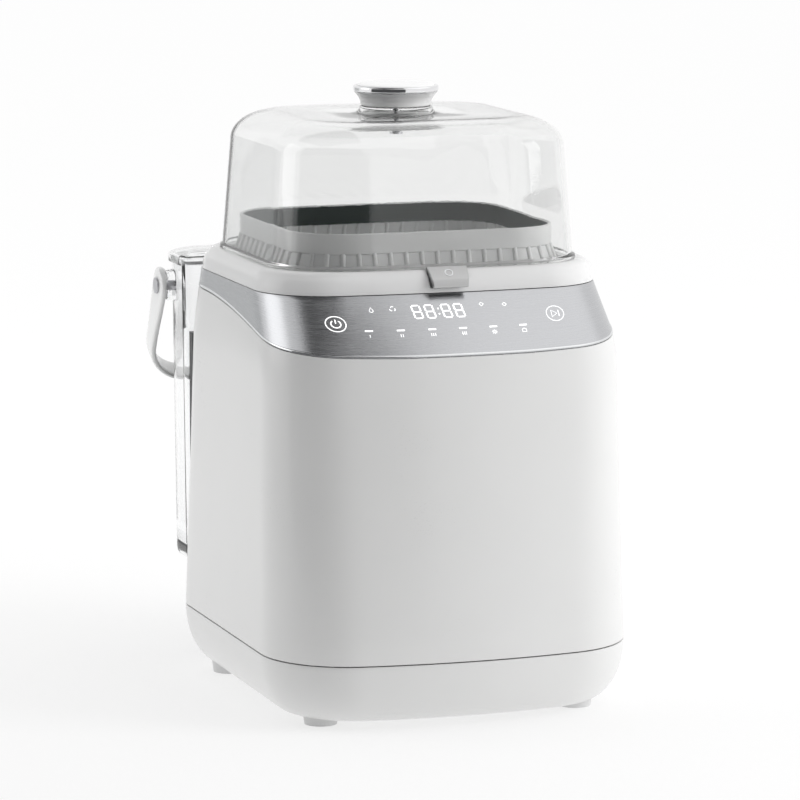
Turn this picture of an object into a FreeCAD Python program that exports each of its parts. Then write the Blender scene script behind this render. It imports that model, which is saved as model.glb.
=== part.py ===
import FreeCAD, Part
import math
import os

import Sketcher
from FreeCAD import Placement, Rotation, Vector

# Tabletop bottle washer-steriliser. Millimetres, +Z up, front towards -Y.
# The origin lies on the table, under the middle of the whole object.

doc = FreeCAD.newDocument("bottle_sterilizer")
sheet = doc.addObject("Spreadsheet::Sheet", "Sizes")

DRIVING = {
    # heights of the main levels
    "floor_z": 5.5, "parting_z": 52.5, "crease_z": 283.5, "rim_z": 325.5, "ring_top_z": 343.0,
    # plan of the body at the parting line, at the crease of the sloped front and at the rim
    "base_half": 145.0, "base_front": -202.0, "base_rear": 118.0, "base_front_r": 70.0, "base_rear_r": 42.0,
    "crease_half": 141.0, "crease_front": -184.5, "crease_rear": 113.0, "crease_front_r": 60.0,
    "crease_rear_r": 54.0,
    "rim_half": 136.0, "rim_front": -142.0, "rim_rear": 112.0, "rim_r": 58.0,
    "front_bow": 520.0, "rim_bow": 900.0, "base_inset": 27.0,
    "wall": 3.0, "band_wall": 2.5, "axis_y": -15.0,
    # the metal band's lower edge: low across the front, high along the sides
    "sweep_front_z": 283.2, "sweep_low_z": 289.0, "sweep_high_z": 311.0, "sweep_start_y": -138.0,
    "sweep_end_y": 62.0,
    # feet and screws
    "foot_r": 14.0, "foot_tall": 12.0, "foot_front_x": 103.0, "foot_front_y": -143.0, "foot_rear_x": 115.0,
    "foot_rear_y": 62.0, "screw_r": 2.0,
    # wash chamber and the deck that carries it
    "deck_top_z": 324.5, "deck_thick": 4.0, "mouth_half": 106.0, "mouth_depth": 97.0, "mouth_r": 44.0,
    "chamber_floor_z": 172.0, "chamber_half": 98.0, "chamber_depth": 89.0, "chamber_floor_r": 40.0,
    "steel": 1.2, "sump_r": 30.0, "drain_r": 24.0,
    # wash drive
    "arm_length": 156.0, "arm_width": 18.0, "arm_z": 186.0, "post_r": 5.0, "running": 0.08,
    "pump_r": 34.0, "motor_r": 25.0, "impeller_r": 28.0,
    # drying fan
    "fan_x": -118.0, "fan_y": 22.0, "fan_z": 122.0, "rotor_r": 30.0, "rotor_wide": 22.0,
    # lid frame, dome and knob
    "dome_half": 122.0, "dome_depth": 117.0, "dome_r": 56.0, "dome_wall": 3.0, "dome_bow": 900.0,
    "dome_foot_z": 343.2, "shoulder_z": 428.5, "crown_edge_z": 452.2, "crown_z": 451.0, "dome_draw": 6.3,
    "shoulder_run": 34.0, "boss_tall": 6.0, "boss_r": 32.0, "ring_r": 33.4, "neck_r": 27.5,
    "knob_screw_r": 1.7, "latch_low_half": 14.0, "latch_top_half": 16.3, "latch_low_z": 330.0,
    "latch_top_z": 345.4, "latch_pin_r": 1.5,
    # basket
    "basket_half": 107.0, "basket_depth": 99.5, "basket_r": 46.0, "basket_wall": 2.5,
    "basket_top_z": 369.5, "basket_band": 16.0, "basket_flare": 4.5, "basket_foot_z": 337.5,
    # water tank at the back
    "tank_half": 134.0, "tank_foot_half": 131.5, "tank_front": 119.0, "tank_rear": 180.0,
    "tank_front_r": 5.0, "tank_rear_r": 30.0, "tank_foot_z": 79.0, "tank_rim_z": 320.5, "tank_wall": 2.5,
    "lid_over": 3.0, "lid_skirt": 6.0, "lid_crown": 4.0,
    "pivot_y": 150.0, "pivot_z": 301.5, "pin_r": 4.0, "boss_out": 8.0,
    "bail_outer": 148.0, "bail_thick": 5.0, "bail_drop": 88.0, "bail_wide": 20.0, "bail_tab_r": 15.0,
    "bail_corner": 34.0, "bail_lean": 28.5,
    # dock at the back
    "panel_half": 130.0, "panel_top_z": 267.5, "shelf_half": 70.0, "shelf_top_z": 78.5,
    "shelf_thick": 15.0, "valve_y": 148.0, "valve_r": 12.0,
}

for row, (alias, value) in enumerate(DRIVING.items(), start=1):
    sheet.set(f"A{row}", alias)
    sheet.set(f"B{row}", str(value))
    sheet.setAlias(f"B{row}", alias)
doc.recompute()


class Cells:
    """Reads a driving dimension from the sheet by its alias."""

    def __getattr__(self, alias):
        return float(sheet.get(alias))


D = Cells()
NODES = []

INLET_X, INLET_Z = 85.0, 56.0
INLET_WIDE, INLET_TALL = 24.0, 16.0
HOSE_R = 5.0


def keep(obj, label):
    """Name an object as a piece of its own, which is written to its own file."""
    obj.Label = label
    NODES.append(obj)
    return obj


def feature(label, shape):
    """A piece whose shape is worked out here from the sheet's dimensions."""
    obj = doc.addObject("Part::Feature", label)
    obj.Shape = shape
    return keep(obj, label)


# ---------------------------------------------------------------- parametric building blocks


def sized(kind, name, sizes, place):
    """A Part primitive with its sizes and its place bound to expressions."""
    obj = doc.addObject(kind, name)
    for prop, expression in sizes.items():
        obj.setExpression(prop, expression)
    for axis, expression in zip("xyz", place):
        obj.setExpression(f"Placement.Base.{axis}", expression)
    return obj


def box(name, sizes, place):
    """A box: length, width, height and the place of its lowest corner."""
    return sized("Part::Box", name, dict(zip(("Length", "Width", "Height"), sizes)), place)


def cylinder(name, radius, height, place, turn=None):
    """An upright cylinder, or a lying one where turn names the axis and angle."""
    obj = sized("Part::Cylinder", name, {"Radius": radius, "Height": height}, place)
    if turn:
        obj.Placement.Rotation = Rotation(*turn)
    return obj


def joined(label, shapes):
    """Several primitives fused to one piece."""
    obj = doc.addObject("Part::MultiFuse", label)
    obj.Shapes = shapes
    return obj


def grouped(label, shapes):
    """Identical small pieces kept as one group of separate solids."""
    obj = doc.addObject("Part::Compound", label)
    obj.Links = shapes
    return obj


def less(label, base, tool):
    """One piece cut by another."""
    obj = doc.addObject("Part::Cut", label)
    obj.Base = base
    obj.Tool = tool
    return obj


def new_body(label):
    """A PartDesign body that is kept as a piece."""
    return keep(doc.addObject("PartDesign::Body", label), label)


def sketch_on(body, role, name):
    """A sketch on one of the body's own origin planes."""
    plane = next(item for item in body.Origin.OriginFeatures if item.Role == role)
    sketch = body.newObject("Sketcher::SketchObject", name)
    sketch.AttachmentSupport = (plane, [""])
    sketch.MapMode = "FlatFace"
    return sketch


def place_body(body, place):
    """Bind a body's place to expressions."""
    for axis, expression in zip("xyz", place):
        body.setExpression(f"Placement.Base.{axis}", expression)


def draw_polygon(sketch, corners):
    """A closed outline of straight lines whose corners are bound to expressions."""
    first = sketch.GeometryCount
    count = len(corners)
    guess = [Vector(10.0 * math.cos(2 * math.pi * i / count), 10.0 * math.sin(2 * math.pi * i / count), 0)
             for i in range(count)]
    for i in range(count):
        sketch.addGeometry(Part.LineSegment(guess[i], guess[(i + 1) % count]), False)
    for i in range(count):
        sketch.addConstraint(Sketcher.Constraint("Coincident", first + i, 2, first + (i + 1) % count, 1))
    for i, (across, along) in enumerate(corners):
        for kind, expression in (("DistanceX", across), ("DistanceY", along)):
            index = sketch.addConstraint(Sketcher.Constraint(kind, -1, 1, first + i, 1, 1.0))
            sketch.setExpression(f"Constraints[{index}]", expression)


def draw_circle(sketch, radius, across="0", along="0"):
    """A circle whose radius and centre are bound to expressions."""
    geometry = sketch.addGeometry(Part.Circle(Vector(1, 1, 0), Vector(0, 0, 1), 5.0), False)
    for kind, target, expression in (("DistanceX", 3, across), ("DistanceY", 3, along)):
        index = sketch.addConstraint(Sketcher.Constraint(kind, -1, 1, geometry, target, 1.0))
        sketch.setExpression(f"Constraints[{index}]", expression)
    index = sketch.addConstraint(Sketcher.Constraint("Radius", geometry, 5.0))
    sketch.setExpression(f"Constraints[{index}]", radius)


def padded(body, sketch, length):
    """Pad a sketch upwards along its own normal."""
    pad = body.newObject("PartDesign::Pad", f"{body.Name}_pad")
    pad.Profile = sketch
    pad.setExpression("Length", length)
    return pad


def turned(label, corners, place):
    """A turned piece: a half section of (radius, height) corners spun about its upright axis."""
    return keep(turned_tool(label, corners, place), label)


def turned_tool(label, corners, place):
    """The same, as a construction body that isn't kept as a piece."""
    body = doc.addObject("PartDesign::Body", label)
    sketch = sketch_on(body, "XZ_Plane", f"{label}_section")
    draw_polygon(sketch, corners)
    spin = body.newObject("PartDesign::Revolution", f"{label}_spin")
    spin.Profile = sketch
    spin.ReferenceAxis = (sketch, ["V_Axis"])
    spin.Angle = 360.0
    place_body(body, place)
    return body


# ---------------------------------------------------------------- outlines and shells


def corner_centre(half, edge_y, radius, bow, inward):
    """Centre of a corner arc, and where it meets the bowed or straight front or rear edge."""
    x = half - radius
    if not bow:
        return Vector(x, edge_y + inward * radius, 0), Vector(x, edge_y, 0)
    middle = Vector(0, edge_y + inward * bow, 0)
    centre = Vector(x, middle.y - inward * math.sqrt((bow - radius) ** 2 - x**2), 0)
    return centre, middle + (centre - middle).normalize() * bow


def arc(start, middle, end):
    return Part.Arc(start, middle, end).toShape()


def plan_wire(half, front, rear, front_r, rear_r, z, front_bow=0.0, rear_bow=0.0):
    """A level outline: rounded corners, straight sides, and front and rear edges that may be bowed."""
    front_c, front_t = corner_centre(half, front, front_r, front_bow, 1)
    rear_c, rear_t = corner_centre(half, rear, rear_r, rear_bow, -1)

    def bisect(centre, radius, touch, out_y):
        side = Vector(1, 0, 0)
        across = (touch - centre).normalize() if (touch - centre).Length > 1e-9 else Vector(0, out_y, 0)
        return centre + (side + across).normalize() * radius

    def edge(touch, edge_y, bow):
        mirror = Vector(-touch.x, touch.y, 0)
        if bow:
            return arc(mirror, Vector(0, edge_y, 0), touch)
        return Part.LineSegment(mirror, touch).toShape()

    def flip(point):
        return Vector(-point.x, point.y, 0)

    front_mid = bisect(front_c, front_r, front_t, -1)
    rear_mid = bisect(rear_c, rear_r, rear_t, 1)
    side_front = Vector(half, front_c.y, 0)
    side_rear = Vector(half, rear_c.y, 0)
    edges = [
        edge(front_t, front, front_bow),
        arc(front_t, front_mid, side_front),
        Part.LineSegment(side_front, side_rear).toShape(),
        arc(side_rear, rear_mid, rear_t),
        edge(rear_t, rear, rear_bow),
        arc(flip(rear_t), flip(rear_mid), flip(side_rear)),
        Part.LineSegment(flip(side_rear), flip(side_front)).toShape(),
        arc(flip(side_front), flip(front_mid), flip(front_t)),
    ]
    wire = Part.Wire(Part.__sortEdges__(edges))
    wire.translate(Vector(0, 0, z))
    return wire


def loft(wires, ruled=True):
    return Part.makeLoft(wires, True, ruled)


def body_wire(level, inset, z=None):
    """The body's outline at one of its three levels, moved in by a wall thickness."""
    plans = {
        "parting": (D.base_half, D.base_front, D.base_rear, D.base_front_r, D.base_rear_r, D.parting_z),
        "crease": (D.crease_half, D.crease_front, D.crease_rear, D.crease_front_r, D.crease_rear_r, D.crease_z),
        "rim": (D.rim_half, D.rim_front, D.rim_rear, D.rim_r, D.rim_r, D.rim_z),
    }
    half, front, rear, front_r, rear_r, level_z = plans[level]
    bow = D.rim_bow if level == "rim" else D.front_bow
    return plan_wire(half - inset, front + inset, rear - inset, front_r - inset, rear_r - inset,
                     level_z if z is None else z, front_bow=bow - inset)


def body_solid(inset):
    """The tapered body from the parting line up to the rim, with its sloped front."""
    return loft([body_wire(level, inset) for level in ("parting", "crease", "rim")])


def ring_wire(half, depth, radius, z, bow=0.0):
    """An outline centred on the dome's axis."""
    return plan_wire(half, D.axis_y - depth, D.axis_y + depth, radius, radius, z, bow, bow)


def ring_loft(sections, bow=0.0, ruled=True):
    """A solid through outlines centred on the dome's axis: (half width, half depth, radius, z)."""
    return loft([ring_wire(half, depth, radius, z, bow) for half, depth, radius, z in sections], ruled)


def tank_wire(half, inset, z):
    return plan_wire(half - inset, D.tank_front + inset, D.tank_rear - inset,
                     max(D.tank_front_r - inset, 1.0), D.tank_rear_r - inset, z)


def prism(points, direction):
    """A straight-sided solid from a flat outline."""
    return Part.Face(Part.makePolygon(points + points[:1])).extrude(direction)


def upright(radius, height, x, y, z):
    return Part.makeCylinder(radius, height, Vector(x, y, z))


def block(x, y, z, low_x, low_y, low_z):
    return Part.makeBox(x, y, z, Vector(low_x, low_y, low_z))


# ---------------------------------------------------------------- casing


def sweep_z(y):
    """Height of the metal band's lower edge at a distance along the body."""
    if y < D.sweep_start_y:
        share = (y - D.crease_front) / (D.sweep_start_y - D.crease_front)
        return D.sweep_front_z + (D.sweep_low_z - D.sweep_front_z) * share
    share = min((y - D.sweep_start_y) / (D.sweep_end_y - D.sweep_start_y), 1.0)
    return D.sweep_low_z + (D.sweep_high_z - D.sweep_low_z) * math.sin(share * math.pi / 2)


def under_sweep():
    """Everything below the swept line that divides the white shell from the metal band."""
    far = 30.0
    front, rear = D.base_front - far, D.base_rear + far
    step = 24.0
    count = int((D.sweep_end_y - D.sweep_start_y) / step) + 1
    stations = [D.crease_front, D.sweep_start_y - step]
    stations += [D.sweep_start_y + (D.sweep_end_y - D.sweep_start_y) * i / count for i in range(count + 1)]
    curve = Part.BSplineCurve()
    curve.interpolate([Vector(-200.0, y, sweep_z(y)) for y in stations])
    start, end = curve.StartPoint, curve.EndPoint
    low = D.parting_z - far
    corners = [end, Vector(end.x, rear, end.z), Vector(end.x, rear, low), Vector(end.x, front, low),
               Vector(end.x, front, start.z), start]
    edges = [curve.toShape()]
    edges += [Part.LineSegment(a, b).toShape() for a, b in zip(corners, corners[1:])]
    return Part.Face(Part.Wire(Part.__sortEdges__(edges))).extrude(Vector(400, 0, 0))


def outer_housing():
    """The white shell, open at the bottom and along its swept top edge."""
    shell = body_solid(0.0).cut(body_solid(D.wall))
    inlet = block(INLET_WIDE, 20.0, INLET_TALL, INLET_X - INLET_WIDE / 2, D.base_rear - 10.0, INLET_Z)
    hose_at = Vector(0, D.base_rear - 10.0, D.shelf_top_z - 11.5)
    hose = Part.makeCylinder(HOSE_R + 0.2, 20.0, hose_at, Vector(0, 1, 0))
    return feature("outer_housing", shell.common(under_sweep()).cut(inlet).cut(hose))


def control_band():
    """The brushed metal band: the sloped front and the thin strip along the sides and back."""
    shell = body_solid(0.0).cut(body_solid(D.band_wall))
    return feature("control_band", shell.cut(under_sweep()))


def base_profile(inset):
    """Outlines of the bowl-shaped base, drawn in towards the floor along a quarter ellipse."""
    wires = []
    depth = D.parting_z - D.floor_z
    for angle in (0.0, 18.0, 36.0, 52.0, 66.0, 78.0, 90.0):
        turn = math.radians(angle)
        draw_in = D.base_inset * (1.0 - math.cos(turn)) + inset
        z = D.parting_z - (depth - inset) * math.sin(turn)
        wires.append(plan_wire(D.base_half - draw_in, D.base_front + draw_in, D.base_rear - draw_in,
                               D.base_front_r - draw_in * 0.7, D.base_rear_r - draw_in * 0.7, z,
                               front_bow=D.front_bow - draw_in))
    return wires


def base_tub():
    """The bowl-shaped base with intake slots in its floor and holes for the feet's screws."""
    tub = loft(base_profile(0.0)).cut(loft(base_profile(D.wall)))
    slots = []
    for i in range(9):
        slots.append(block(3.0, 44.0, 12.0, -60.0 + 14.0 * i, 10.0, D.floor_z - 4.0))
    for x, y in ((D.foot_front_x, D.foot_front_y), (D.foot_rear_x, D.foot_rear_y)):
        for side in (-1, 1):
            slots.append(upright(D.screw_r + 0.4, 12.0, side * x, y, D.floor_z - 4.0))
    return feature("base_tub", tub.cut(Part.makeCompound(slots)))


CORNERS = [(f"{sign}Sizes.foot_{end}_x", f"Sizes.foot_{end}_y")
           for sign in ("-", "") for end in ("front", "rear")]


def rubber_feet():
    """Four round feet that follow the bowl's underside, each with a stepped bore for its screw."""
    bowl = doc.addObject("Part::Feature", "bowl_outside")
    bowl.Shape = loft(base_profile(-0.02))
    feet = []
    for i, (x, y) in enumerate(CORNERS):
        foot = sized("Part::Cone", f"foot_{i}",
                     {"Radius1": "Sizes.foot_r - 1.5", "Radius2": "Sizes.foot_r",
                      "Height": "Sizes.foot_tall"}, (x, y, "0"))
        recess = cylinder(f"foot_recess_{i}", "Sizes.screw_r + 2.5", "Sizes.floor_z - 2", (x, y, "0"))
        drill = cylinder(f"foot_drill_{i}", "Sizes.screw_r", "Sizes.foot_tall", (x, y, "0"))
        feet.append(less(f"drilled_foot_{i}", foot, joined(f"foot_bore_{i}", [recess, drill])))
    return keep(less("rubber_feet", grouped("feet_blanks", feet), bowl), "rubber_feet")


def base_screws():
    """Screws up through the feet: a flat head in the foot's recess and a shank into the base."""
    screws = []
    for i, (x, y) in enumerate(CORNERS):
        head = cylinder(f"screw_head_{i}", "Sizes.screw_r + 2", "1.8", (x, y, "Sizes.floor_z - 3.8"))
        shank = cylinder(f"screw_shank_{i}", "Sizes.screw_r", "14", (x, y, "Sizes.floor_z - 2"))
        screws.append(joined(f"screw_{i}", [head, shank]))
    return keep(grouped("base_screws", screws), "base_screws")


# ---------------------------------------------------------------- deck, chamber and what is in it


def mouth_section(grow, z):
    return (D.mouth_half + grow, D.mouth_depth + grow, D.mouth_r + grow, z)


def top_deck():
    """The plate that closes the body round the wash chamber's mouth."""
    top, low = D.deck_top_z, D.deck_top_z - D.deck_thick
    clear = D.band_wall + 0.3
    plate = loft([body_wire("rim", clear + 0.2, low), body_wire("rim", clear, top)])
    mouth = ring_loft([mouth_section(0.0, low - 1), mouth_section(0.0, top + 1)])
    groove = ring_loft([mouth_section(8.0, top - 1.4), mouth_section(8.0, top + 1)])
    groove = groove.cut(ring_loft([mouth_section(4.6, top - 2), mouth_section(4.6, top + 2)]))
    holes = [upright(D.screw_r, 3 * D.deck_thick, x, y, low - D.deck_thick) for x, y in deck_screw_places()]
    return feature("top_deck", plate.cut(mouth).cut(groove).cut(Part.makeCompound(holes)))


def deck_screw_places():
    """Four screws in the deck's corners, outside the seal."""
    return [(side * (D.rim_half - 23.0), D.axis_y + end * (D.rim_rear - D.axis_y - 29.0))
            for side in (-1, 1) for end in (-1, 1)]


def deck_screws():
    screws = []
    for x, y in deck_screw_places():
        head = upright(D.screw_r + 1.4, 0.9, x, y, D.deck_top_z)
        screws.append(head.fuse(upright(D.screw_r, 12.0, x, y, D.deck_top_z - 12.0)))
    return feature("deck_screws", Part.makeCompound(screws))


def chamber_seal():
    """A square-section silicone ring in the deck's groove, under the lid frame."""
    low, top = D.deck_top_z - 1.4, D.rim_z + 0.4
    ring = ring_loft([mouth_section(7.8, low), mouth_section(7.8, top)])
    hole = ring_loft([mouth_section(4.8, low - 1), mouth_section(4.8, top + 1)])
    return feature("chamber_seal", ring.cut(hole))


def chamber_sections(inset, low, top):
    return [
        (D.chamber_half - inset, D.chamber_depth - inset, D.chamber_floor_r - inset, low),
        (D.mouth_half - 1.0 - inset, D.mouth_depth - 1.0 - inset, D.mouth_r - 1.0 - inset, top),
    ]


def wash_chamber():
    """The steel tub: a drawn bowl with a flange that hangs under the deck."""
    top = D.deck_top_z - D.deck_thick
    low = D.chamber_floor_z
    tub = ring_loft(chamber_sections(0.0, low, top))
    flange = ring_loft([mouth_section(7.0, top - D.steel), mouth_section(7.0, top)])
    inside = ring_loft(chamber_sections(D.steel, low + D.steel, top + 0.1))
    drain = upright(D.drain_r, 10.0, 0, D.axis_y, low - 5.0)
    port_at = Vector(-D.chamber_half - 20.0, D.fan_y - 30.0, 264.0)
    port = Part.makeCylinder(13.0, 40.0, port_at, Vector(1, 0, 0))
    return feature("wash_chamber", tub.fuse(flange).cut(inside).cut(drain).cut(port))


def rack_level():
    """Height of the lower rack's grid."""
    return D.arm_z + 18.0


def bottle_rack():
    """The lower rack: a slatted grid that carries pegs and stands on four feet."""
    z = rack_level()
    frame = ring_loft([(92.0, 83.0, 36.0, z), (92.0, 83.0, 36.0, z + 5.0)])
    frame = frame.cut(ring_loft([(88.0, 79.0, 32.0, z - 1), (88.0, 79.0, 32.0, z + 6.0)]))
    parts = []
    outline = ring_loft([(90.0, 81.0, 34.0, z), (90.0, 81.0, 34.0, z + 5.0)])
    for i in range(-5, 6):
        parts.append(block(3.0, 170.0, 4.0, 15.0 * i - 1.5, D.axis_y - 85.0, z).common(outline))
    for j in (-50.0, 0.0, 50.0):
        parts.append(block(184.0, 3.0, 3.0, -92.0, D.axis_y + j - 1.5, z).common(outline))
    return feature("bottle_rack", frame.multiFuse(parts))


def rack_pegs():
    """Twelve round-ended pegs that stand on the rack's slats and hold bottles upside down."""
    pegs = []
    for x, slat in ((-60.0, 4.0), (-20.0, 3.0), (20.0, 3.0), (60.0, 4.0)):
        low = rack_level() + slat
        for y in (-50.0, 0.0, 50.0):
            tip = Vector(x, D.axis_y + y, rack_level() + 48.0)
            pegs.append(upright(2.2, tip.z - low, tip.x, tip.y, low).fuse(Part.makeSphere(2.2, tip)))
    return feature("rack_pegs", Part.makeCompound(pegs))


def rack_feet():
    """Four round feet under the rack's outer slats."""
    low = D.chamber_floor_z + D.steel + 0.3
    return feature("rack_feet", Part.makeCompound(
        [upright(3.0, rack_level() - low, x, D.axis_y + y, low) for x in (-75.0, 75.0) for y in (-62.0, 62.0)]))


def sump_cup():
    """The cup under the chamber that collects water and carries the spray arm's post."""
    return turned("sump_cup", [
        ("Sizes.sump_r", "-1"), ("Sizes.sump_r", "-24"), ("0", "-24"), ("0", "-21"),
        ("Sizes.sump_r - 3", "-21"), ("Sizes.sump_r - 3", "-4"), ("Sizes.drain_r - 0.3", "-4"),
        ("Sizes.drain_r - 0.3", "0"), ("Sizes.drain_r + 1", "0"), ("Sizes.drain_r + 1", "-1"),
    ], ("0", "Sizes.axis_y", "Sizes.chamber_floor_z"))


def filter_screen():
    """A lift-out perforated disc over the sump."""
    body = new_body("filter_screen")
    sketch = sketch_on(body, "XY_Plane", "filter_screen_outline")
    draw_circle(sketch, "Sizes.drain_r - 0.8")
    draw_circle(sketch, "Sizes.post_r + 1.5")
    padded(body, sketch, "1.2")
    doc.recompute()
    holes = sketch_on(body, "XY_Plane", "filter_screen_hole")
    draw_circle(holes, "1.3", "11")
    pocket = body.newObject("PartDesign::Pocket", "filter_screen_pierce")
    pocket.Profile = holes
    pocket.Type = 1
    pocket.Midplane = True
    circle = body.newObject("PartDesign::PolarPattern", "filter_screen_ring")
    circle.Originals = [pocket]
    circle.Axis = (holes, ["N_Axis"])
    circle.Angle = 360.0
    circle.Occurrences = 16
    body.Tip = circle
    place_body(body, ("0", "Sizes.axis_y", "Sizes.chamber_floor_z - 3.7"))
    return body


def spray_post():
    """The hollow post that feeds the spray arm, standing in the sump."""
    return turned("spray_post", [
        ("Sizes.post_r - 1.5", "0"), ("Sizes.post_r", "0"), ("Sizes.post_r", "48"),
        ("Sizes.post_r - 1.5", "48"),
    ], ("0", "Sizes.axis_y", "Sizes.chamber_floor_z - 21"))


def spray_arm():
    """The turning arm: a round hub on the post and two flat arms with rows of nozzles."""
    hub = cylinder("spray_hub", "14", "13", ("0", "Sizes.axis_y", "Sizes.arm_z - 6"))
    blade = box("spray_blade", ("Sizes.arm_length", "Sizes.arm_width", "7"),
                ("-Sizes.arm_length / 2", "Sizes.axis_y - Sizes.arm_width / 2", "Sizes.arm_z - 3.5"))
    ends = [cylinder(f"spray_end_{i}", "Sizes.arm_width / 2", "7",
                     (f"{sign}Sizes.arm_length / 2", "Sizes.axis_y", "Sizes.arm_z - 3.5"))
            for i, sign in enumerate(("-", ""))]
    solid = joined("spray_solid", [hub, blade, *ends])
    bores = [cylinder("spray_bore", "Sizes.post_r + Sizes.running", "18",
                      ("0", "Sizes.axis_y", "Sizes.arm_z - 8"))]
    for i, reach in enumerate((28, 46, 64, 80)):
        for sign in ("-", ""):
            bores.append(cylinder(f"nozzle_{i}_{'left' if sign else 'right'}", "1.4", "6",
                                  (f"{sign}{reach}", "Sizes.axis_y", "Sizes.arm_z - 1")))
    return keep(less("spray_arm", solid, joined("spray_bores", bores)), "spray_arm")


def heater_plate():
    """A ring-shaped heating plate pressed against the underside of the chamber floor."""
    body = new_body("heater_plate")
    sketch = sketch_on(body, "XY_Plane", "heater_outline")
    draw_circle(sketch, "Sizes.sump_r + 40")
    draw_circle(sketch, "Sizes.sump_r + 4")
    padded(body, sketch, "6")
    place_body(body, ("0", "Sizes.axis_y", "Sizes.chamber_floor_z - 6.2"))
    return body


# ---------------------------------------------------------------- wash pump


def suction_pipe():
    return turned("suction_pipe", [("6", "0"), ("8", "0"), ("8", "28"), ("6", "28")],
                  ("0", "Sizes.axis_y", "Sizes.chamber_floor_z - 52"))


def pump_casing():
    """The volute: a flat drum with a hollow for the impeller."""
    return turned("pump_casing", [
        ("8", "26"), ("Sizes.pump_r", "26"), ("Sizes.pump_r", "0"), ("4", "0"), ("4", "3"),
        ("Sizes.pump_r - 3", "3"), ("Sizes.pump_r - 3", "23"), ("8", "23"),
    ], ("0", "Sizes.axis_y", "Sizes.chamber_floor_z - 78"))


def pump_impeller():
    """Backplate, hub and six straight vanes on a shaft that runs down into the motor."""
    base_z = D.chamber_floor_z - 78.0
    shaft = upright(3.0, 26.0, 0, D.axis_y, base_z - 16.0)
    solid = shaft.fuse(upright(D.impeller_r, 2.5, 0, D.axis_y, base_z + 5.0))
    solid = solid.fuse(upright(7.0, 12.0, 0, D.axis_y, base_z + 5.0))
    vanes = []
    for i in range(6):
        vane = block(D.impeller_r - 7.0, 2.0, 11.0, 6.0, -1.0, 0.0)
        vane.rotate(Vector(0, 0, 0), Vector(0, 0, 1), 60.0 * i)
        vane.translate(Vector(0, D.axis_y, base_z + 6.0))
        vanes.append(vane)
    return feature("pump_impeller", solid.multiFuse(vanes))


def pump_motor():
    """The can motor under the pump, bored for the impeller's shaft."""
    return turned("pump_motor", [
        ("Sizes.running + 3", "0"), ("Sizes.motor_r", "0"), ("Sizes.motor_r", "-54"),
        ("0", "-54"), ("0", "-18"), ("Sizes.running + 3", "-18"),
    ], ("0", "Sizes.axis_y", "Sizes.chamber_floor_z - 78.3"))


# ---------------------------------------------------------------- drying fan and electronics


def fan_housing():
    """A box round the rotor: an intake eye with three struts for the motor, and an outlet on top."""
    wide, tall, deep = 34.0, 76.0, 76.0
    x, y, z = D.fan_x - wide / 2, D.fan_y - deep / 2, D.fan_z - tall / 2
    hollow = block(wide - 4.0, deep - 4.0, tall - 4.0, x + 2, y + 2, z + 2)
    shell = block(wide, deep, tall, x, y, z).cut(hollow)
    eye = Part.makeCylinder(22.0, 6.0, Vector(x + wide - 4.0, D.fan_y, D.fan_z), Vector(1, 0, 0))
    outlet = block(wide - 8.0, 24.0, 10.0, x + 4.0, y + 5.0, z + tall - 6.0)
    struts = []
    for i in range(3):
        strut = block(2.0, 4.0, 11.0, x + wide - 2.0, -2.0, 12.0)
        strut.translate(Vector(-x - wide, 0, 0))
        strut.rotate(Vector(0, 0, 0), Vector(1, 0, 0), 120.0 * i)
        strut.translate(Vector(x + wide, D.fan_y, D.fan_z))
        struts.append(strut)
    return feature("fan_housing", shell.cut(eye).cut(outlet).multiFuse(struts))


def fan_rotor():
    """A squirrel-cage rotor: backplate, rim ring and blades, on a shaft along X."""
    half = D.rotor_wide / 2
    parts = [Part.makeCylinder(D.rotor_r, 2.0, Vector(-half, 0, 0), Vector(1, 0, 0))]
    rim = Part.makeCylinder(D.rotor_r, 2.0, Vector(half - 2.0, 0, 0), Vector(1, 0, 0))
    opening = Part.makeCylinder(D.rotor_r - 6.0, 4.0, Vector(half - 3.0, 0, 0), Vector(1, 0, 0))
    parts.append(rim.cut(opening))
    parts.append(Part.makeCylinder(6.0, 8.0, Vector(-half, 0, 0), Vector(1, 0, 0)))
    parts.append(Part.makeCylinder(2.5, D.rotor_wide + 13.0, Vector(-half, 0, 0), Vector(1, 0, 0)))
    for i in range(20):
        blade = block(D.rotor_wide - 1.0, 1.2, 6.0, -half + 0.5, -0.6, D.rotor_r - 6.4)
        blade.rotate(Vector(0, 0, 0), Vector(1, 0, 0), 18.0 * i)
        parts.append(blade)
    rotor = parts[0].multiFuse(parts[1:])
    rotor.translate(Vector(D.fan_x, D.fan_y, D.fan_z))
    return feature("fan_rotor", rotor)


def fan_motor():
    """The can motor held by the struts in the intake eye."""
    x = D.fan_x + 15.0
    can = Part.makeCylinder(12.0, 24.0, Vector(x, D.fan_y, D.fan_z), Vector(1, 0, 0))
    bore = Part.makeCylinder(2.5 + D.running, 12.0, Vector(x - 0.5, D.fan_y, D.fan_z), Vector(1, 0, 0))
    return feature("fan_motor", can.cut(bore))


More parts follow.
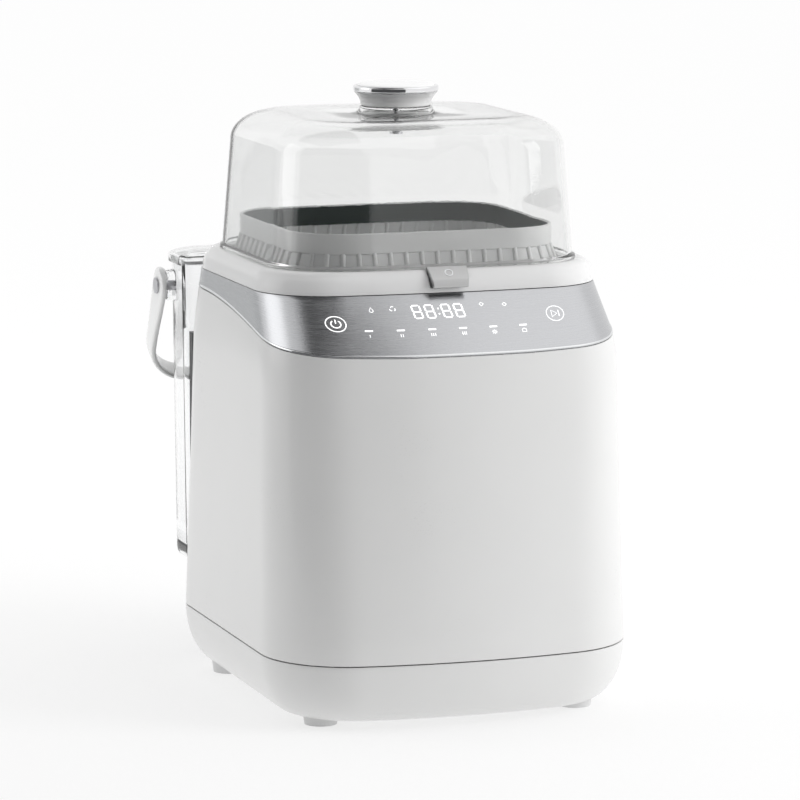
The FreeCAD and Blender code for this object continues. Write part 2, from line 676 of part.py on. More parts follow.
def air_duct():
    """The duct from the fan's outlet up to the port in the chamber's side."""
    x, y, z = D.fan_x - 13.0, D.fan_y - 33.0, D.fan_z + 38.2
    top_x, top_y, top_z = -D.mouth_half - 16.0, y - 14.0, 282.0
    stations = [(x, y, 24.0, 24.0, z), (top_x, top_y, 14.0, 34.0, 244.0), (top_x, top_y, 14.0, 34.0, top_z)]
    outer = loft([rect_wire(*station) for station in stations])
    skin = 1.6
    ends = (-1.0, 0.0, -skin)
    inner = loft([rect_wire(a + skin, b + skin, wide - 2 * skin, deep - 2 * skin, h + end)
                  for (a, b, wide, deep, h), end in zip(stations, ends)])
    port_at = Vector(top_x + 12.0, top_y + 17.0, top_z - 18.0)
    collar = Part.makeCylinder(15.0, 6.5, port_at, Vector(1, 0, 0))
    bore = Part.makeCylinder(13.0, 12.0, port_at - Vector(1, 0, 0), Vector(1, 0, 0))
    return feature("air_duct", outer.cut(inner).fuse(collar).cut(bore))


def rect_wire(x, y, wide, deep, z):
    """A level rectangle from its lowest corner."""
    spots = ((x, y), (x + wide, y), (x + wide, y + deep), (x, y + deep))
    corners = [Vector(*spot, z) for spot in spots]
    return Part.makePolygon(corners + corners[:1])


def air_heater():
    """A finned heater block that stands in the duct's lower end."""
    x, y, z = D.fan_x - 9.0, D.fan_y - 29.5, D.fan_z + 42.0
    parts = [block(17.0, 16.0, 1.5, x, y, z), block(17.0, 16.0, 1.5, x, y, z + 12.0)]
    for i in range(5):
        parts.append(block(1.0, 16.0, 12.0, x + 4.0 * i, y, z + 0.75))
    return feature("air_heater", parts[0].multiFuse(parts[1:]))


def power_board():
    """The mains board on the right: a plate with a transformer, two capacitors and a relay."""
    x = 92.0
    board = box("power_plate", ("1.6", "90", "80"), (f"{x}", "-40", "Sizes.floor_z + 26"))
    parts = [
        board,
        box("transformer", ("22", "30", "28"), (f"{x - 22}", "-30", "Sizes.floor_z + 34")),
        box("relay", ("14", "18", "14"), (f"{x - 14}", "18", "Sizes.floor_z + 34")),
        cylinder("capacitor_low", "7", "24", (f"{x}", "8", "Sizes.floor_z + 84"), (Vector(0, 1, 0), -90)),
        cylinder("capacitor_high", "7", "24", (f"{x}", "28", "Sizes.floor_z + 84"), (Vector(0, 1, 0), -90)),
    ]
    return keep(joined("power_board", parts), "power_board")


def sloped_block(wide, tall, thick, x, along, depth):
    """A block along the inside of the sloped front: x of its middle, and its place on the slope."""
    run = Vector(0, D.rim_front - D.crease_front, D.rim_z - D.crease_z)
    lean = math.degrees(math.atan2(run.y, run.z))
    part = block(wide, thick, tall, x - wide / 2, 0, 0)
    part.rotate(Vector(0, 0, 0), Vector(1, 0, 0), -lean)
    foot = Vector(0, D.crease_front, D.crease_z) + run * along
    inward = Vector(0, run.z, -run.y).normalize() * depth
    part.translate(foot + inward)
    return part


def control_board():
    """The touch and display circuit board behind the sloped metal front."""
    return feature("control_board", sloped_block(206.0, 34.0, 1.6, 0.0, 0.31, D.band_wall + 15.0))


def display_module():
    """The four-digit display block on the control board."""
    return feature("display_module", sloped_block(52.0, 16.0, 10.0, -13.0, 0.6, D.band_wall + 4.8))


def touch_pads():
    """Two foam pads that carry the touch signal from the metal front to the board."""
    pads = [sloped_block(8.0, 8.0, 8.0, x, 0.6, D.band_wall + 6.8) for x in (-96.0, 79.0)]
    return feature("touch_pads", Part.makeCompound(pads))


# ---------------------------------------------------------------- dock at the back


def rear_panel():
    """The dark plate on the back that the tank leans against, shaped to the leaning wall."""
    low = D.shelf_top_z + 0.5
    deep = 9.0
    tall = D.panel_top_z - low
    plate = block(2 * D.panel_half, deep, tall, -D.panel_half, D.tank_front - 0.3 - deep, low)
    return feature("rear_panel", plate.cut(body_solid(-0.05)))


def dock_shelf():
    """The bracket under the tank, with a deep round seat for the tank's valve."""
    low = "Sizes.shelf_top_z - Sizes.shelf_thick"
    front = "Sizes.base_rear + 0.1"
    slab = box("shelf_slab", ("2 * Sizes.shelf_half", "42", "Sizes.shelf_thick"),
               ("-Sizes.shelf_half", front, low))
    nose = box("shelf_nose", ("2 * Sizes.shelf_half - 24", "54", "Sizes.shelf_thick"),
               ("12 - Sizes.shelf_half", front, low))
    rounds = [cylinder(f"shelf_round_{i}", "12", "Sizes.shelf_thick",
                       (f"{sign}(Sizes.shelf_half - 12)", "Sizes.base_rear + 42.1", low))
              for i, sign in enumerate(("-", ""))]
    seat = cylinder("shelf_seat", "Sizes.valve_r + 3", "9", ("0", "Sizes.valve_y", "Sizes.shelf_top_z - 9"))
    drill = cylinder("shelf_drill", "7", "6", ("0", "Sizes.valve_y", "Sizes.shelf_top_z - 13"))
    channel = cylinder("shelf_channel", "3.5", "Sizes.valve_y - Sizes.base_rear + 1",
                       ("0", "Sizes.valve_y + 1", "Sizes.shelf_top_z - 11.5"), (Vector(1, 0, 0), 90))
    return keep(less("dock_shelf", joined("shelf_solid", [slab, nose, *rounds]),
                     joined("shelf_bores", [seat, drill, channel])), "dock_shelf")


def dock_nozzle():
    """The spigot in the seat: a flanged tube that receives the tank's water."""
    return turned("dock_nozzle", [
        ("3", "-9"), ("9", "-9"), ("9", "-8"), ("4.5", "-8"), ("4.5", "-6.9"), ("3", "-6.9"),
    ], ("0", "Sizes.valve_y", "Sizes.shelf_top_z"))


def power_inlet():
    """The two-pin mains inlet in the back wall: a flanged socket with a square well."""
    y = D.base_rear - 18.0
    left = INLET_X - INLET_WIDE / 2
    shell = block(INLET_WIDE - 0.4, 18.1, INLET_TALL - 0.4, left + 0.2, y, INLET_Z + 0.2)
    flange = block(INLET_WIDE + 4.0, 1.6, INLET_TALL + 2.0, left - 2.0, D.base_rear + 0.1, INLET_Z - 1.0)
    middle_z = INLET_Z + INLET_TALL / 2

    def lying(radius, length, across, y_low):
        return Part.makeCylinder(radius, length, Vector(INLET_X + across, y_low, middle_z), Vector(0, 1, 0))

    well = block(16.0, 16.0, 9.0, INLET_X - 8.0, y + 5.0, middle_z - 4.5)
    pins = [lying(1.2, 9.0, across, y + 4.0) for across in (-4.0, 4.0)]
    return feature("power_inlet", shell.fuse(flange).cut(well).multiFuse(pins))


def bent_tube(points, radius, bore, bend):
    """A tube along straight runs joined by tangent arcs of one bend radius."""
    edges = []
    last = points[0]
    for before, corner, after in zip(points, points[1:], points[2:]):
        arrive = (corner - before).normalize()
        leave = (after - corner).normalize()
        half_turn = arrive.getAngle(leave) / 2
        back = bend * math.tan(half_turn)
        start, end = corner - arrive * back, corner + leave * back
        toward = (leave - arrive).normalize()
        middle = corner + toward * (bend / math.cos(half_turn) - bend)
        edges.append(Part.LineSegment(last, start).toShape())
        edges.append(arc(start, middle, end))
        last = end
    edges.append(Part.LineSegment(last, points[-1]).toShape())
    path = Part.Wire(edges)
    heading = (points[1] - points[0]).normalize()

    def swept(size):
        ring = Part.Wire(Part.Circle(points[0], heading, size).toShape())
        return path.makePipeShell([ring], True, True)

    return swept(radius).cut(swept(bore))


def feed_hose():
    """The water hose from the shelf's channel, under the deck of the pump and up to its suction pipe."""
    low_z = D.shelf_top_z - 11.5
    riser_y = D.axis_y + D.pump_r + HOSE_R + 6.0
    high_z = D.chamber_floor_z - 38.0
    points = [Vector(0, D.base_rear, low_z), Vector(0, riser_y, low_z), Vector(0, riser_y, high_z),
              Vector(0, D.axis_y + 8.1, high_z)]
    return feature("feed_hose", bent_tube(points, HOSE_R, HOSE_R - 1.5, 12.0))


# ---------------------------------------------------------------- lid frame, dome and knob


def frame_sections(inset, low, top):
    """The lid frame's outside: a flange at the rim, a rounded shoulder, a flat top for the dome's foot."""
    height = top - low
    shape = ((0.0, 0.0), (0.4, 0.35), (2.6, 0.72), (6.0, 0.92), (10.5, 1.0))
    return [(D.rim_half - inset - draw, -draw - inset, low + height * rise) for draw, rise in shape]


def frame_wires(inset, low, top):
    wires = []
    for half, move, z in frame_sections(inset, low, top):
        wires.append(plan_wire(half, D.rim_front - move, D.rim_rear + move, D.rim_r + move * 0.6,
                               D.rim_r + move * 0.6, z, D.rim_bow, D.rim_bow))
    return wires


FRAME_GAP = 0.5
SEAT_HALF = 22.0
SEAT_FRONT = -133.4
SEAT_REAR = -128.0


def frame_pocket(half, front, rear):
    """A block at the front of the lid frame round the place where the latch sits."""
    return block(2 * half, rear - front, 40.0, -half, front, D.rim_z - 5.0)


def latch_room(gap, front, rear):
    """The tapered room that the latch fills, wider at the top, with a gap at either side."""
    grow = (D.latch_top_half - D.latch_low_half) / (D.latch_top_z - D.latch_low_z)
    stations = []
    for z in (D.rim_z - 5.0, D.latch_top_z + 5.0):
        half = D.latch_low_half + grow * (z - D.latch_low_z) + gap
        stations.append(rect_wire(-half, front, 2 * half, rear - front, z))
    return loft(stations)


def lid_frame():
    """The clear outer ring that carries the dome and drops over the chamber's mouth."""
    low, top = D.rim_z + FRAME_GAP, D.ring_top_z
    ring = loft(frame_wires(0.0, low, top))
    under = loft(frame_wires(3.0, low - 1.0, top - 3.0))
    under = under.cut(ring_loft([mouth_section(9.4, low - 2.0), mouth_section(9.4, top)]))
    under = under.cut(frame_pocket(SEAT_HALF, D.rim_front - 5.0, SEAT_REAR))
    hole = ring_loft([mouth_section(0.0, low - 1.0), mouth_section(0.0, top + 1.0)])
    flare = D.basket_flare + 0.8
    ledge = ring_loft([(D.basket_half + flare, D.basket_depth + flare, D.basket_r + flare, z)
                       for z in (D.basket_foot_z - 0.4, top + 1.0)])
    notch = latch_room(0.8, D.rim_front - 5.0, SEAT_FRONT)
    pin = Part.makeCylinder(D.latch_pin_r, 40.0, Vector(-20.0, LATCH_PIN_Y, LATCH_PIN_Z), Vector(1, 0, 0))
    return feature("lid_frame", ring.cut(under).cut(hole).cut(ledge).cut(notch).cut(pin))


def frame_liner():
    """The frosted ring inside the clear one, which hides the deck below."""
    low, top = D.rim_z + FRAME_GAP, D.ring_top_z - 4.0
    ring = loft(frame_wires(3.6, low, top))
    hole = ring_loft([mouth_section(10.0, low - 1.0), mouth_section(10.0, top + 1.0)])
    hollow = loft(frame_wires(6.0, low - 1.0, top - 2.5))
    seat = frame_pocket(SEAT_HALF + 0.3, D.rim_front - 5.0, SEAT_REAR + 0.3)
    return feature("frame_liner", ring.cut(hole).cut(hollow).cut(seat))


LATCH_PIN_Y, LATCH_PIN_Z = -137.2, 337.5


def latch_button():
    """The two-faced latch on its pin: a sloping thumb face above a short upright one."""
    section = [(-135.2, D.latch_top_z), (-146.4, 336.0), (-147.6, D.latch_low_z), (-144.8, D.latch_low_z),
               (-143.2, 333.6), (-135.4, 333.6), (-134.6, 341.0)]
    plate = prism([Vector(-30.0, y, z) for y, z in section], Vector(60.0, 0, 0))
    pin_at = Vector(-30.0, LATCH_PIN_Y, LATCH_PIN_Z)
    bore = Part.makeCylinder(D.latch_pin_r + D.running, 60.0, pin_at, Vector(1, 0, 0))
    return feature("latch_button", plate.common(latch_room(0.0, -160.0, -120.0)).cut(bore))


def latch_pin():
    pin = cylinder("latch_pin_rod", "Sizes.latch_pin_r", "39.6",
                   ("-19.8", f"{LATCH_PIN_Y}", f"{LATCH_PIN_Z}"), (Vector(0, 1, 0), 90))
    return keep(pin, "latch_pin")


def dome_sections(inset):
    """The dome's outline at its foot, up its drawn-in wall, round its shoulder and over its crown."""
    rise = D.crown_edge_z - D.shoulder_z
    shape = [(0.0, D.dome_foot_z)]
    for angle in (0.0, 18.0, 36.0, 54.0, 72.0, 90.0):
        turn = math.radians(angle)
        draw = D.dome_draw + D.shoulder_run * (1.0 - math.cos(turn))
        shape.append((draw, D.shoulder_z + rise * math.sin(turn)))
    shape.append((D.dome_draw + 2.0 * D.shoulder_run, D.crown_z))
    sections = []
    for draw, z in shape:
        sections.append((D.dome_half - draw - inset, D.dome_depth - draw - inset,
                         max(D.dome_r - draw * 0.5 - inset, 12.0), z))
    return sections


def dome_cover():
    """The clear dome: a drawn-in wall on a foot bead, a rounded shoulder, and a boss on its flat crown."""
    outer = ring_loft(dome_sections(0.0), D.dome_bow)
    inner_sections = [(half, depth, radius, z - (D.dome_wall if z > D.shoulder_z else 0.0))
                      for half, depth, radius, z in dome_sections(D.dome_wall)]
    half, depth, radius, z = inner_sections[0]
    inner_sections[0] = (half, depth, radius, z - 1.0)
    inner = ring_loft(inner_sections, D.dome_bow)
    bead = ring_loft([(D.dome_half + 1.6, D.dome_depth + 1.6, D.dome_r + 1.6, z)
                      for z in (D.dome_foot_z, D.dome_foot_z + 2.6)], D.dome_bow)
    under = D.crown_z - D.dome_wall
    boss = Part.makeCone(D.boss_r, D.neck_r, D.boss_tall + 1.0, Vector(0, D.axis_y, D.crown_z - 1.0))
    hollow = Part.makeCone(D.boss_r - 4.0, D.neck_r - 3.0, D.boss_tall, Vector(0, D.axis_y, under))
    bore = upright(D.knob_screw_r + 0.3, 30.0, 0, D.axis_y, under - 15.0)
    return feature("dome_cover", outer.multiFuse([bead, boss]).cut(inner).cut(hollow).cut(bore))


def knob_base():
    """The white disc clamped under the crown, which stiffens it round the knob's screw."""
    return turned("knob_base", [
        ("Sizes.knob_screw_r + 0.1", "-0.2"), ("34", "-0.2"), ("39", "-2"), ("34", "-4"),
        ("Sizes.knob_screw_r + 0.1", "-5"),
    ], ("0", "Sizes.axis_y", "Sizes.crown_z - Sizes.dome_wall"))


KNOB_FOOT = ("0", "Sizes.axis_y", "Sizes.crown_z + Sizes.boss_tall")


def knob_body():
    """The white knob: a waisted cup that flares up to the metal ring."""
    return turned("knob_body", [
        ("Sizes.knob_screw_r", "0.1"), ("Sizes.neck_r - 1", "0.1"), ("Sizes.neck_r", "1.2"),
        ("Sizes.neck_r + 0.5", "4"), ("Sizes.neck_r + 2.2", "7.5"), ("Sizes.ring_r - 0.6", "11.1"),
        ("Sizes.ring_r - 3", "11.1"), ("Sizes.ring_r - 3", "15.1"), ("Sizes.ring_r - 6", "15.1"),
        ("Sizes.ring_r - 6", "9.5"), ("Sizes.knob_screw_r", "5.5"),
    ], KNOB_FOOT)


def knob_ring():
    """The bright ring round the knob's widest part."""
    return turned("knob_ring", [
        ("Sizes.ring_r - 2.9", "11.2"), ("Sizes.ring_r - 0.6", "11.2"), ("Sizes.ring_r", "12"),
        ("Sizes.ring_r", "15"), ("Sizes.ring_r - 0.6", "16"), ("Sizes.ring_r - 2.9", "16"),
    ], KNOB_FOOT)


def knob_cap():
    """The nearly flat white cap that closes the knob."""
    return turned("knob_cap", [
        ("0", "15.3"), ("Sizes.ring_r - 3", "15.3"), ("Sizes.ring_r - 3", "16.3"), ("26", "17.6"),
        ("12", "18.1"), ("0", "18.2"),
    ], KNOB_FOOT)


def knob_screw():
    """The screw that clamps the knob and the disc on the crown, put in from inside."""
    return turned("knob_screw", [
        ("0", "-11"), ("5", "-11"), ("5", "-8.6"), ("Sizes.knob_screw_r", "-8.1"),
        ("Sizes.knob_screw_r", "10"), ("0", "10"),
    ], ("0", "Sizes.axis_y", "Sizes.crown_z"))


def dome_seal():
    """A thin gasket in the dome's foot."""
    low = D.ring_top_z
    outer = ring_loft([(D.dome_half - 0.4, D.dome_depth - 0.4, D.dome_r - 0.4, z)
                       for z in (low + 0.02, D.dome_foot_z)], D.dome_bow)
    inner = ring_loft([(D.dome_half - 2.6, D.dome_depth - 2.6, D.dome_r - 2.6, z)
                       for z in (low - 1.0, D.dome_foot_z + 1.0)], D.dome_bow)
    return feature("dome_seal", outer.cut(inner))


# ---------------------------------------------------------------- basket


def basket_ring(grow, wall, low, top):
    """A level band of the basket: how far it stands out, its wall and its heights."""
    half, depth, radius = D.basket_half + grow, D.basket_depth + grow, D.basket_r + grow
    band = ring_loft([(half, depth, radius, low), (half, depth, radius, top)])
    return band.cut(ring_loft([(half - wall, depth - wall, radius - wall, low - 1.0),
                               (half - wall, depth - wall, radius - wall, top + 1.0)]))


def along_ring(half, depth, radius, pitch):
    """Evenly spaced places round a rounded square, each with the angle of its outward direction."""
    wire = ring_wire(half, depth, radius, 0.0)
    places = wire.discretize(Number=round(wire.Length / pitch) + 1)[:-1]
    for before, spot, after in zip(places[-1:] + places[:-1], places, places[1:] + places[:1]):
        ahead = after - before
        yield spot, math.degrees(math.atan2(ahead.y, ahead.x)) + 90.0


def item_basket():
    """The tray for small items: a smooth rim, a flaring ribbed skirt and a slotted floor."""
    top, foot = D.basket_top_z, D.basket_foot_z
    rim_low, foot_top = top - D.basket_band, foot + 4.0
    flare, wall = D.basket_flare, D.basket_wall
    half, depth, radius = D.basket_half, D.basket_depth, D.basket_r

    def cone(inset):
        """The flaring skirt's solid, moved in by the wall."""
        out = flare - inset
        return ring_loft([(half + out, depth + out, radius + out, foot_top),
                          (half - inset, depth - inset, radius - inset, rim_low)])

    skirt = cone(0.0).cut(cone(wall))
    backing = cone(1.4).cut(cone(wall))
    gaps = []
    for spot, angle in along_ring(half + flare / 2, depth + flare / 2, radius + flare / 2, 12.7):
        gap = block(24.0, 9.4, rim_low - foot_top, -12.0, -4.7, foot_top)
        gap.rotate(Vector(0, 0, 0), Vector(0, 0, 1), angle)
        gap.translate(spot)
        gaps.append(gap)
    skirt = skirt.cut(Part.makeCompound(gaps)).fuse(backing)
    floor = ring_loft([(half + 1.0, depth + 1.0, radius + 1.0, z) for z in (foot, foot + 2.4)])
    slots = [block(5.2, 2 * depth - 20.0, 10.0, -half + 11.4 + 12.5 * i, D.axis_y - depth + 10.0, foot - 2.0)
             for i in range(16)]
    floor = floor.cut(Part.makeCompound(slots))
    foot_ring = basket_ring(flare, flare + wall, foot, foot_top)
    return feature("item_basket", basket_ring(0.0, wall, rim_low, top).multiFuse([skirt, foot_ring, floor]))


def basket_liner():
    """The dark band inside the basket's rim."""
    low, top = D.basket_top_z - D.basket_band + 0.4, D.basket_top_z - 1.0
    return feature("basket_liner", basket_ring(-D.basket_wall - 0.02, 0.8, low, top))


# ---------------------------------------------------------------- water tank


def tank_body():
    """The clear tank: flat front, rounded back corners, and a boss on each end for the handle."""
    low, top, wall = D.tank_foot_z, D.tank_rim_z + 1.5, D.tank_wall
    outer = loft([tank_wire(D.tank_foot_half, 0.0, low), tank_wire(D.tank_half, 0.0, top)])
    inner = loft([tank_wire(D.tank_foot_half, wall, low + wall), tank_wire(D.tank_half, wall, top + 0.1)])
    solid = outer
    for side in (-1, 1):
        boss = block(D.boss_out + 6.0, 19.0, 24.0, -D.boss_out - 6.0, D.pivot_y - 9.5, D.pivot_z - 12.0)
        boss = boss.makeFillet(4.0, [edge for edge in boss.Edges if abs(edge.tangentAt(0).x) > 0.9])
        boss.translate(Vector(D.tank_half + D.boss_out, 0, 0))
        if side < 0:
            boss = boss.mirror(Vector(0, 0, 0), Vector(1, 0, 0))
        solid = solid.fuse(boss)
    solid = solid.cut(inner)
    for side in (-1, 1):
        reach = Vector(side * (D.tank_half - 1.0), D.pivot_y, D.pivot_z)
        solid = solid.cut(Part.makeCylinder(D.pin_r, 20.0, reach, Vector(side, 0, 0)))
    return feature("tank_body", solid.cut(upright(D.valve_r, 10.0, 0, D.valve_y, low - 3.0)))


def tank_lid():
    """The clear lid: a skirt over the tank's rim and a gently raised top."""
    low = D.tank_rim_z
    over, skin = D.lid_over, 2.2

    def sections(inset, drop):
        shape = ((-over, 0.0), (-over, D.lid_skirt), (-over + 1.6, D.lid_skirt + 1.4),
                 (12.0, D.lid_skirt + D.lid_crown))
        wires = []
        for draw, rise in shape:
            z = low + rise - (drop if rise else 1.0 if drop else 0.0)
            wires.append(tank_wire(D.tank_half, draw + inset, z))
        return wires

    return feature("tank_lid", loft(sections(0.0, 0.0)).cut(loft(sections(skin, skin))))


def tank_seal():
    """The silicone gasket on the tank's rim, under the lid."""
    low = D.tank_rim_z + 1.55
    outer = loft([tank_wire(D.tank_half, 0.1, z) for z in (low, low + 1.6)])
    inner = loft([tank_wire(D.tank_half, 2.4, z) for z in (low - 1.0, low + 3.0)])
    return feature("tank_seal", outer.cut(inner))


def tank_handle():
    """The bail: a flat strap bent to a U, with a round tab at each end, leaning back on the tank."""
    outer, thick, drop, corner = D.bail_outer, D.bail_thick, D.bail_drop, D.bail_corner
    up = D.bail_tab_r + 1.0

    def u_face(inset):
        half, low, radius = outer - inset, -drop - thick / 2 + inset, corner - inset
        top = up + 5.0
        bend = radius * (1.0 - math.sqrt(0.5))
        edges = [
            Part.LineSegment(Vector(-half, 0, top), Vector(-half, 0, low + radius)).toShape(),
            arc(Vector(-half, 0, low + radius), Vector(-half + bend, 0, low + bend),
                Vector(-half + radius, 0, low)),
            Part.LineSegment(Vector(-half + radius, 0, low), Vector(half - radius, 0, low)).toShape(),
            arc(Vector(half - radius, 0, low), Vector(half - bend, 0, low + bend),
                Vector(half, 0, low + radius)),
            Part.LineSegment(Vector(half, 0, low + radius), Vector(half, 0, top)).toShape(),
            Part.LineSegment(Vector(half, 0, top), Vector(-half, 0, top)).toShape(),
        ]
        return Part.Face(Part.Wire(edges))

    deep = 2 * D.bail_tab_r + 2.0
    strap = u_face(0.0).extrude(Vector(0, deep, 0)).cut(u_face(thick).extrude(Vector(0, deep, 0)))
    strap.translate(Vector(0, -deep / 2, 0))
    tab, wide = D.bail_tab_r, D.bail_wide / 2
    side = [Vector(-200, -tab, 0), Vector(-200, -wide, -drop * 0.6), Vector(-200, -wide, -drop - 20),
            Vector(-200, wide, -drop - 20), Vector(-200, wide, -drop * 0.6), Vector(-200, tab, 0)]
    edges = [Part.LineSegment(a, b).toShape() for a, b in zip(side, side[1:])]
    edges.append(arc(side[-1], Vector(-200, 0, tab), side[0]))
    shape = strap.common(Part.Face(Part.Wire(edges)).extrude(Vector(400, 0, 0)))
    shape = shape.cut(Part.makeCylinder(D.pin_r + D.running, 400, Vector(-200, 0, 0), Vector(1, 0, 0)))
    shape.rotate(Vector(0, 0, 0), Vector(1, 0, 0), D.bail_lean)
    shape.translate(Vector(0, D.pivot_y, D.pivot_z))
    return feature("tank_handle", shape)


def handle_pins():
    """A pin in each boss, with a flat head outside the handle's tab."""
    pins = []
    for name, sign, turn in (("left", "-", -90), ("right", "", 90)):
        place = (f"{sign}(Sizes.tank_half - 1)", "Sizes.pivot_y", "Sizes.pivot_z")
        rod = cylinder(f"pin_rod_{name}", "Sizes.pin_r", "Sizes.bail_outer - Sizes.tank_half + 1.4", place,
                       (Vector(0, 1, 0), turn))
        place = (f"{sign}(Sizes.bail_outer + 0.3)", "Sizes.pivot_y", "Sizes.pivot_z")
        head = cylinder(f"pin_head_{name}", "Sizes.pin_r + 2.5", "1.2", place, (Vector(0, 1, 0), turn))
        pins.append(joined(f"handle_pin_{name}", [rod, head]))
    return keep(grouped("handle_pins", pins), "handle_pins")


def valve_body():
    """The flanged collar in the tank's floor."""
    return turned("valve_body", [
        ("5", "-7"), ("Sizes.valve_r", "-7"), ("Sizes.valve_r", "2.5"), ("Sizes.valve_r + 3", "2.5"),
        ("Sizes.valve_r + 3", "4.5"), ("5", "4.5"),
    ], ("0", "Sizes.valve_y", "Sizes.tank_foot_z"))


def valve_cage():
    """The slotted cage over the collar that guides the plunger's stem."""
    cup = turned_tool("valve_cup", [
        ("8.8", "4.5"), ("10", "4.5"), ("10", "26"), ("2 + Sizes.running", "26"), ("2 + Sizes.running", "24.5"),
        ("8.8", "24.5"),
    ], ("0", "Sizes.valve_y", "Sizes.tank_foot_z"))
    doc.recompute()
    window_z = D.tank_foot_z + 6.0
    windows = [block(30.0, 5.0, 8.0, -15.0, D.valve_y - 2.5, window_z),
               block(5.0, 30.0, 8.0, -2.5, D.valve_y - 15.0, window_z)]
    return feature("valve_cage", cup.Shape.cut(Part.makeCompound(windows)))


def valve_plunger():
    """The sprung stopper: a disc on the collar with a stem below and above."""
    return turned("valve_plunger", [
        ("0", "-5"), ("2", "-5"), ("2", "4.8"), ("7.5", "4.8"), ("7.5", "7"), ("2", "7"), ("2", "29"),
        ("0", "29"),
    ], ("0", "Sizes.valve_y", "Sizes.tank_foot_z"))


def valve_spring():
    """The coil spring between the plunger's disc and the top of the cage."""
    low, high = D.tank_foot_z + 7.6, D.tank_foot_z + 23.9
    turns = 5
    helix = Part.makeHelix((high - low) / turns, high - low, 4.5)
    section = Part.Wire(Part.Circle(Vector(4.5, 0, 0), Vector(0, 1, 0), 0.45).toShape())
    coil = Part.Wire(helix).makePipeShell([section], True, True)
    coil.translate(Vector(0, D.valve_y, low))
    return feature("valve_spring", coil)


# ---------------------------------------------------------------- build, check and write

PIECES = (
    outer_housing, control_band, base_tub, rubber_feet, base_screws, top_deck, deck_screws, chamber_seal,
    wash_chamber, bottle_rack, rack_pegs, rack_feet, sump_cup, filter_screen, spray_post, spray_arm, heater_plate, suction_pipe,
    pump_casing, pump_impeller, pump_motor, fan_housing, fan_rotor, fan_motor, air_duct, air_heater,
    power_board, control_board, display_module, touch_pads, rear_panel, dock_shelf, dock_nozzle, power_inlet,
    feed_hose, lid_frame, frame_liner, latch_button, latch_pin, dome_cover, dome_seal, knob_base, knob_body,
    knob_ring, knob_cap, knob_screw, item_basket, basket_liner, tank_body, tank_lid, tank_seal, tank_handle,
    handle_pins, valve_body, valve_cage, valve_plunger, valve_spring,
)

for piece in PIECES:
    piece()
doc.recompute()

for obj in doc.Objects:
    if {"Invalid", "Error"} & set(obj.State):
        raise RuntimeError(f"{obj.Label} failed: {obj.State}")
for obj in NODES:
    if obj.Shape.isNull() or not obj.Shape.isValid() or not obj.Shape.Solids:
        raise RuntimeError(f"{obj.Label} has no valid solid")

os.makedirs("parts", exist_ok=True)
for obj in NODES:
    obj.Shape.exportStep(os.path.join("parts", f"{obj.Label}.step"))
print(f"{len(NODES)} pieces written")
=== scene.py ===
"""Looks of a tabletop bottle washer-steriliser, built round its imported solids.

Sizes in the classes are in millimetres, and become metres when a mesh is made.
The object stands on the floor, its front towards -Y and its middle near x = 0.
"""

import logging
import math
from dataclasses import dataclass, field, replace
from enum import Enum
from typing import Sequence

import bpy
from mathutils import Matrix, Vector


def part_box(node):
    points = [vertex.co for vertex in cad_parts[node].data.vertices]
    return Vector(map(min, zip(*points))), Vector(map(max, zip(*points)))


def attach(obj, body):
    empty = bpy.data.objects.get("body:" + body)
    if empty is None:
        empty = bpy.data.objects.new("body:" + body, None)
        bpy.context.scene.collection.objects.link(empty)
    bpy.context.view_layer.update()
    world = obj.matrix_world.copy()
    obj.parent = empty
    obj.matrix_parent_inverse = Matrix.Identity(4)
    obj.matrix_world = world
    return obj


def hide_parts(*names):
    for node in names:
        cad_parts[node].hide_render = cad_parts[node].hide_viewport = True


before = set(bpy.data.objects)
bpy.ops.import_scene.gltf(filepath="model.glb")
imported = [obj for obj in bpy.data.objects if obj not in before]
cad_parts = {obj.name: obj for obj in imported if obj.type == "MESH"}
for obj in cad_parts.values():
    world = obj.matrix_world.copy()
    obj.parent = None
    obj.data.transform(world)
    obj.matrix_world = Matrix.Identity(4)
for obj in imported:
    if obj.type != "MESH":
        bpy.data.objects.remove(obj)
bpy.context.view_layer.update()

log = logging.getLogger("bottle_sterilizer")

MM = 0.001
RING_POINTS = 176
EDGE_STEPS = 24
CORNER_STEPS = 40
LEAST_RADIUS = 0.6
CENTRE_RADIUS = 0.02
SHARP_ANGLE = 35.0
PATTERN_ANGLE = 40.0
HOUSE_BOW = 520.0
RIM_BOW = 900.0
AXIS_Y = -15.0

Point = tuple[float, float]
Place = tuple[float, float, float]
Colour = tuple[float, float, float]


class Slot(Enum):
    """Material slots of the record, one named for each new piece."""

    WHITE_SHELL = "white_shell"
    BAND_METAL = "band_metal"
    BRIGHT_METAL = "bright_metal"
    LATCH_METAL = "latch_metal"
    STEEL = "steel"
    CLEAR = "clear_plastic"
    FROSTED = "frosted_plastic"
    BASKET = "basket_plastic"
    LINER = "dark_liner"
    INNER = "inner_plastic"
    DARK = "dark_plastic"
    DISPLAY = "display"
    RUBBER = "rubber_grey"


def millimetres(node: str) -> tuple[Vector, Vector]:
    """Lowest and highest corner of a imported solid, in millimetres.

    Args:
        node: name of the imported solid.

    Returns:
        The two corners.
    """
    low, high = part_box(node)
    return low / MM, high / MM


# ------------------------------------------------------------------ node trees


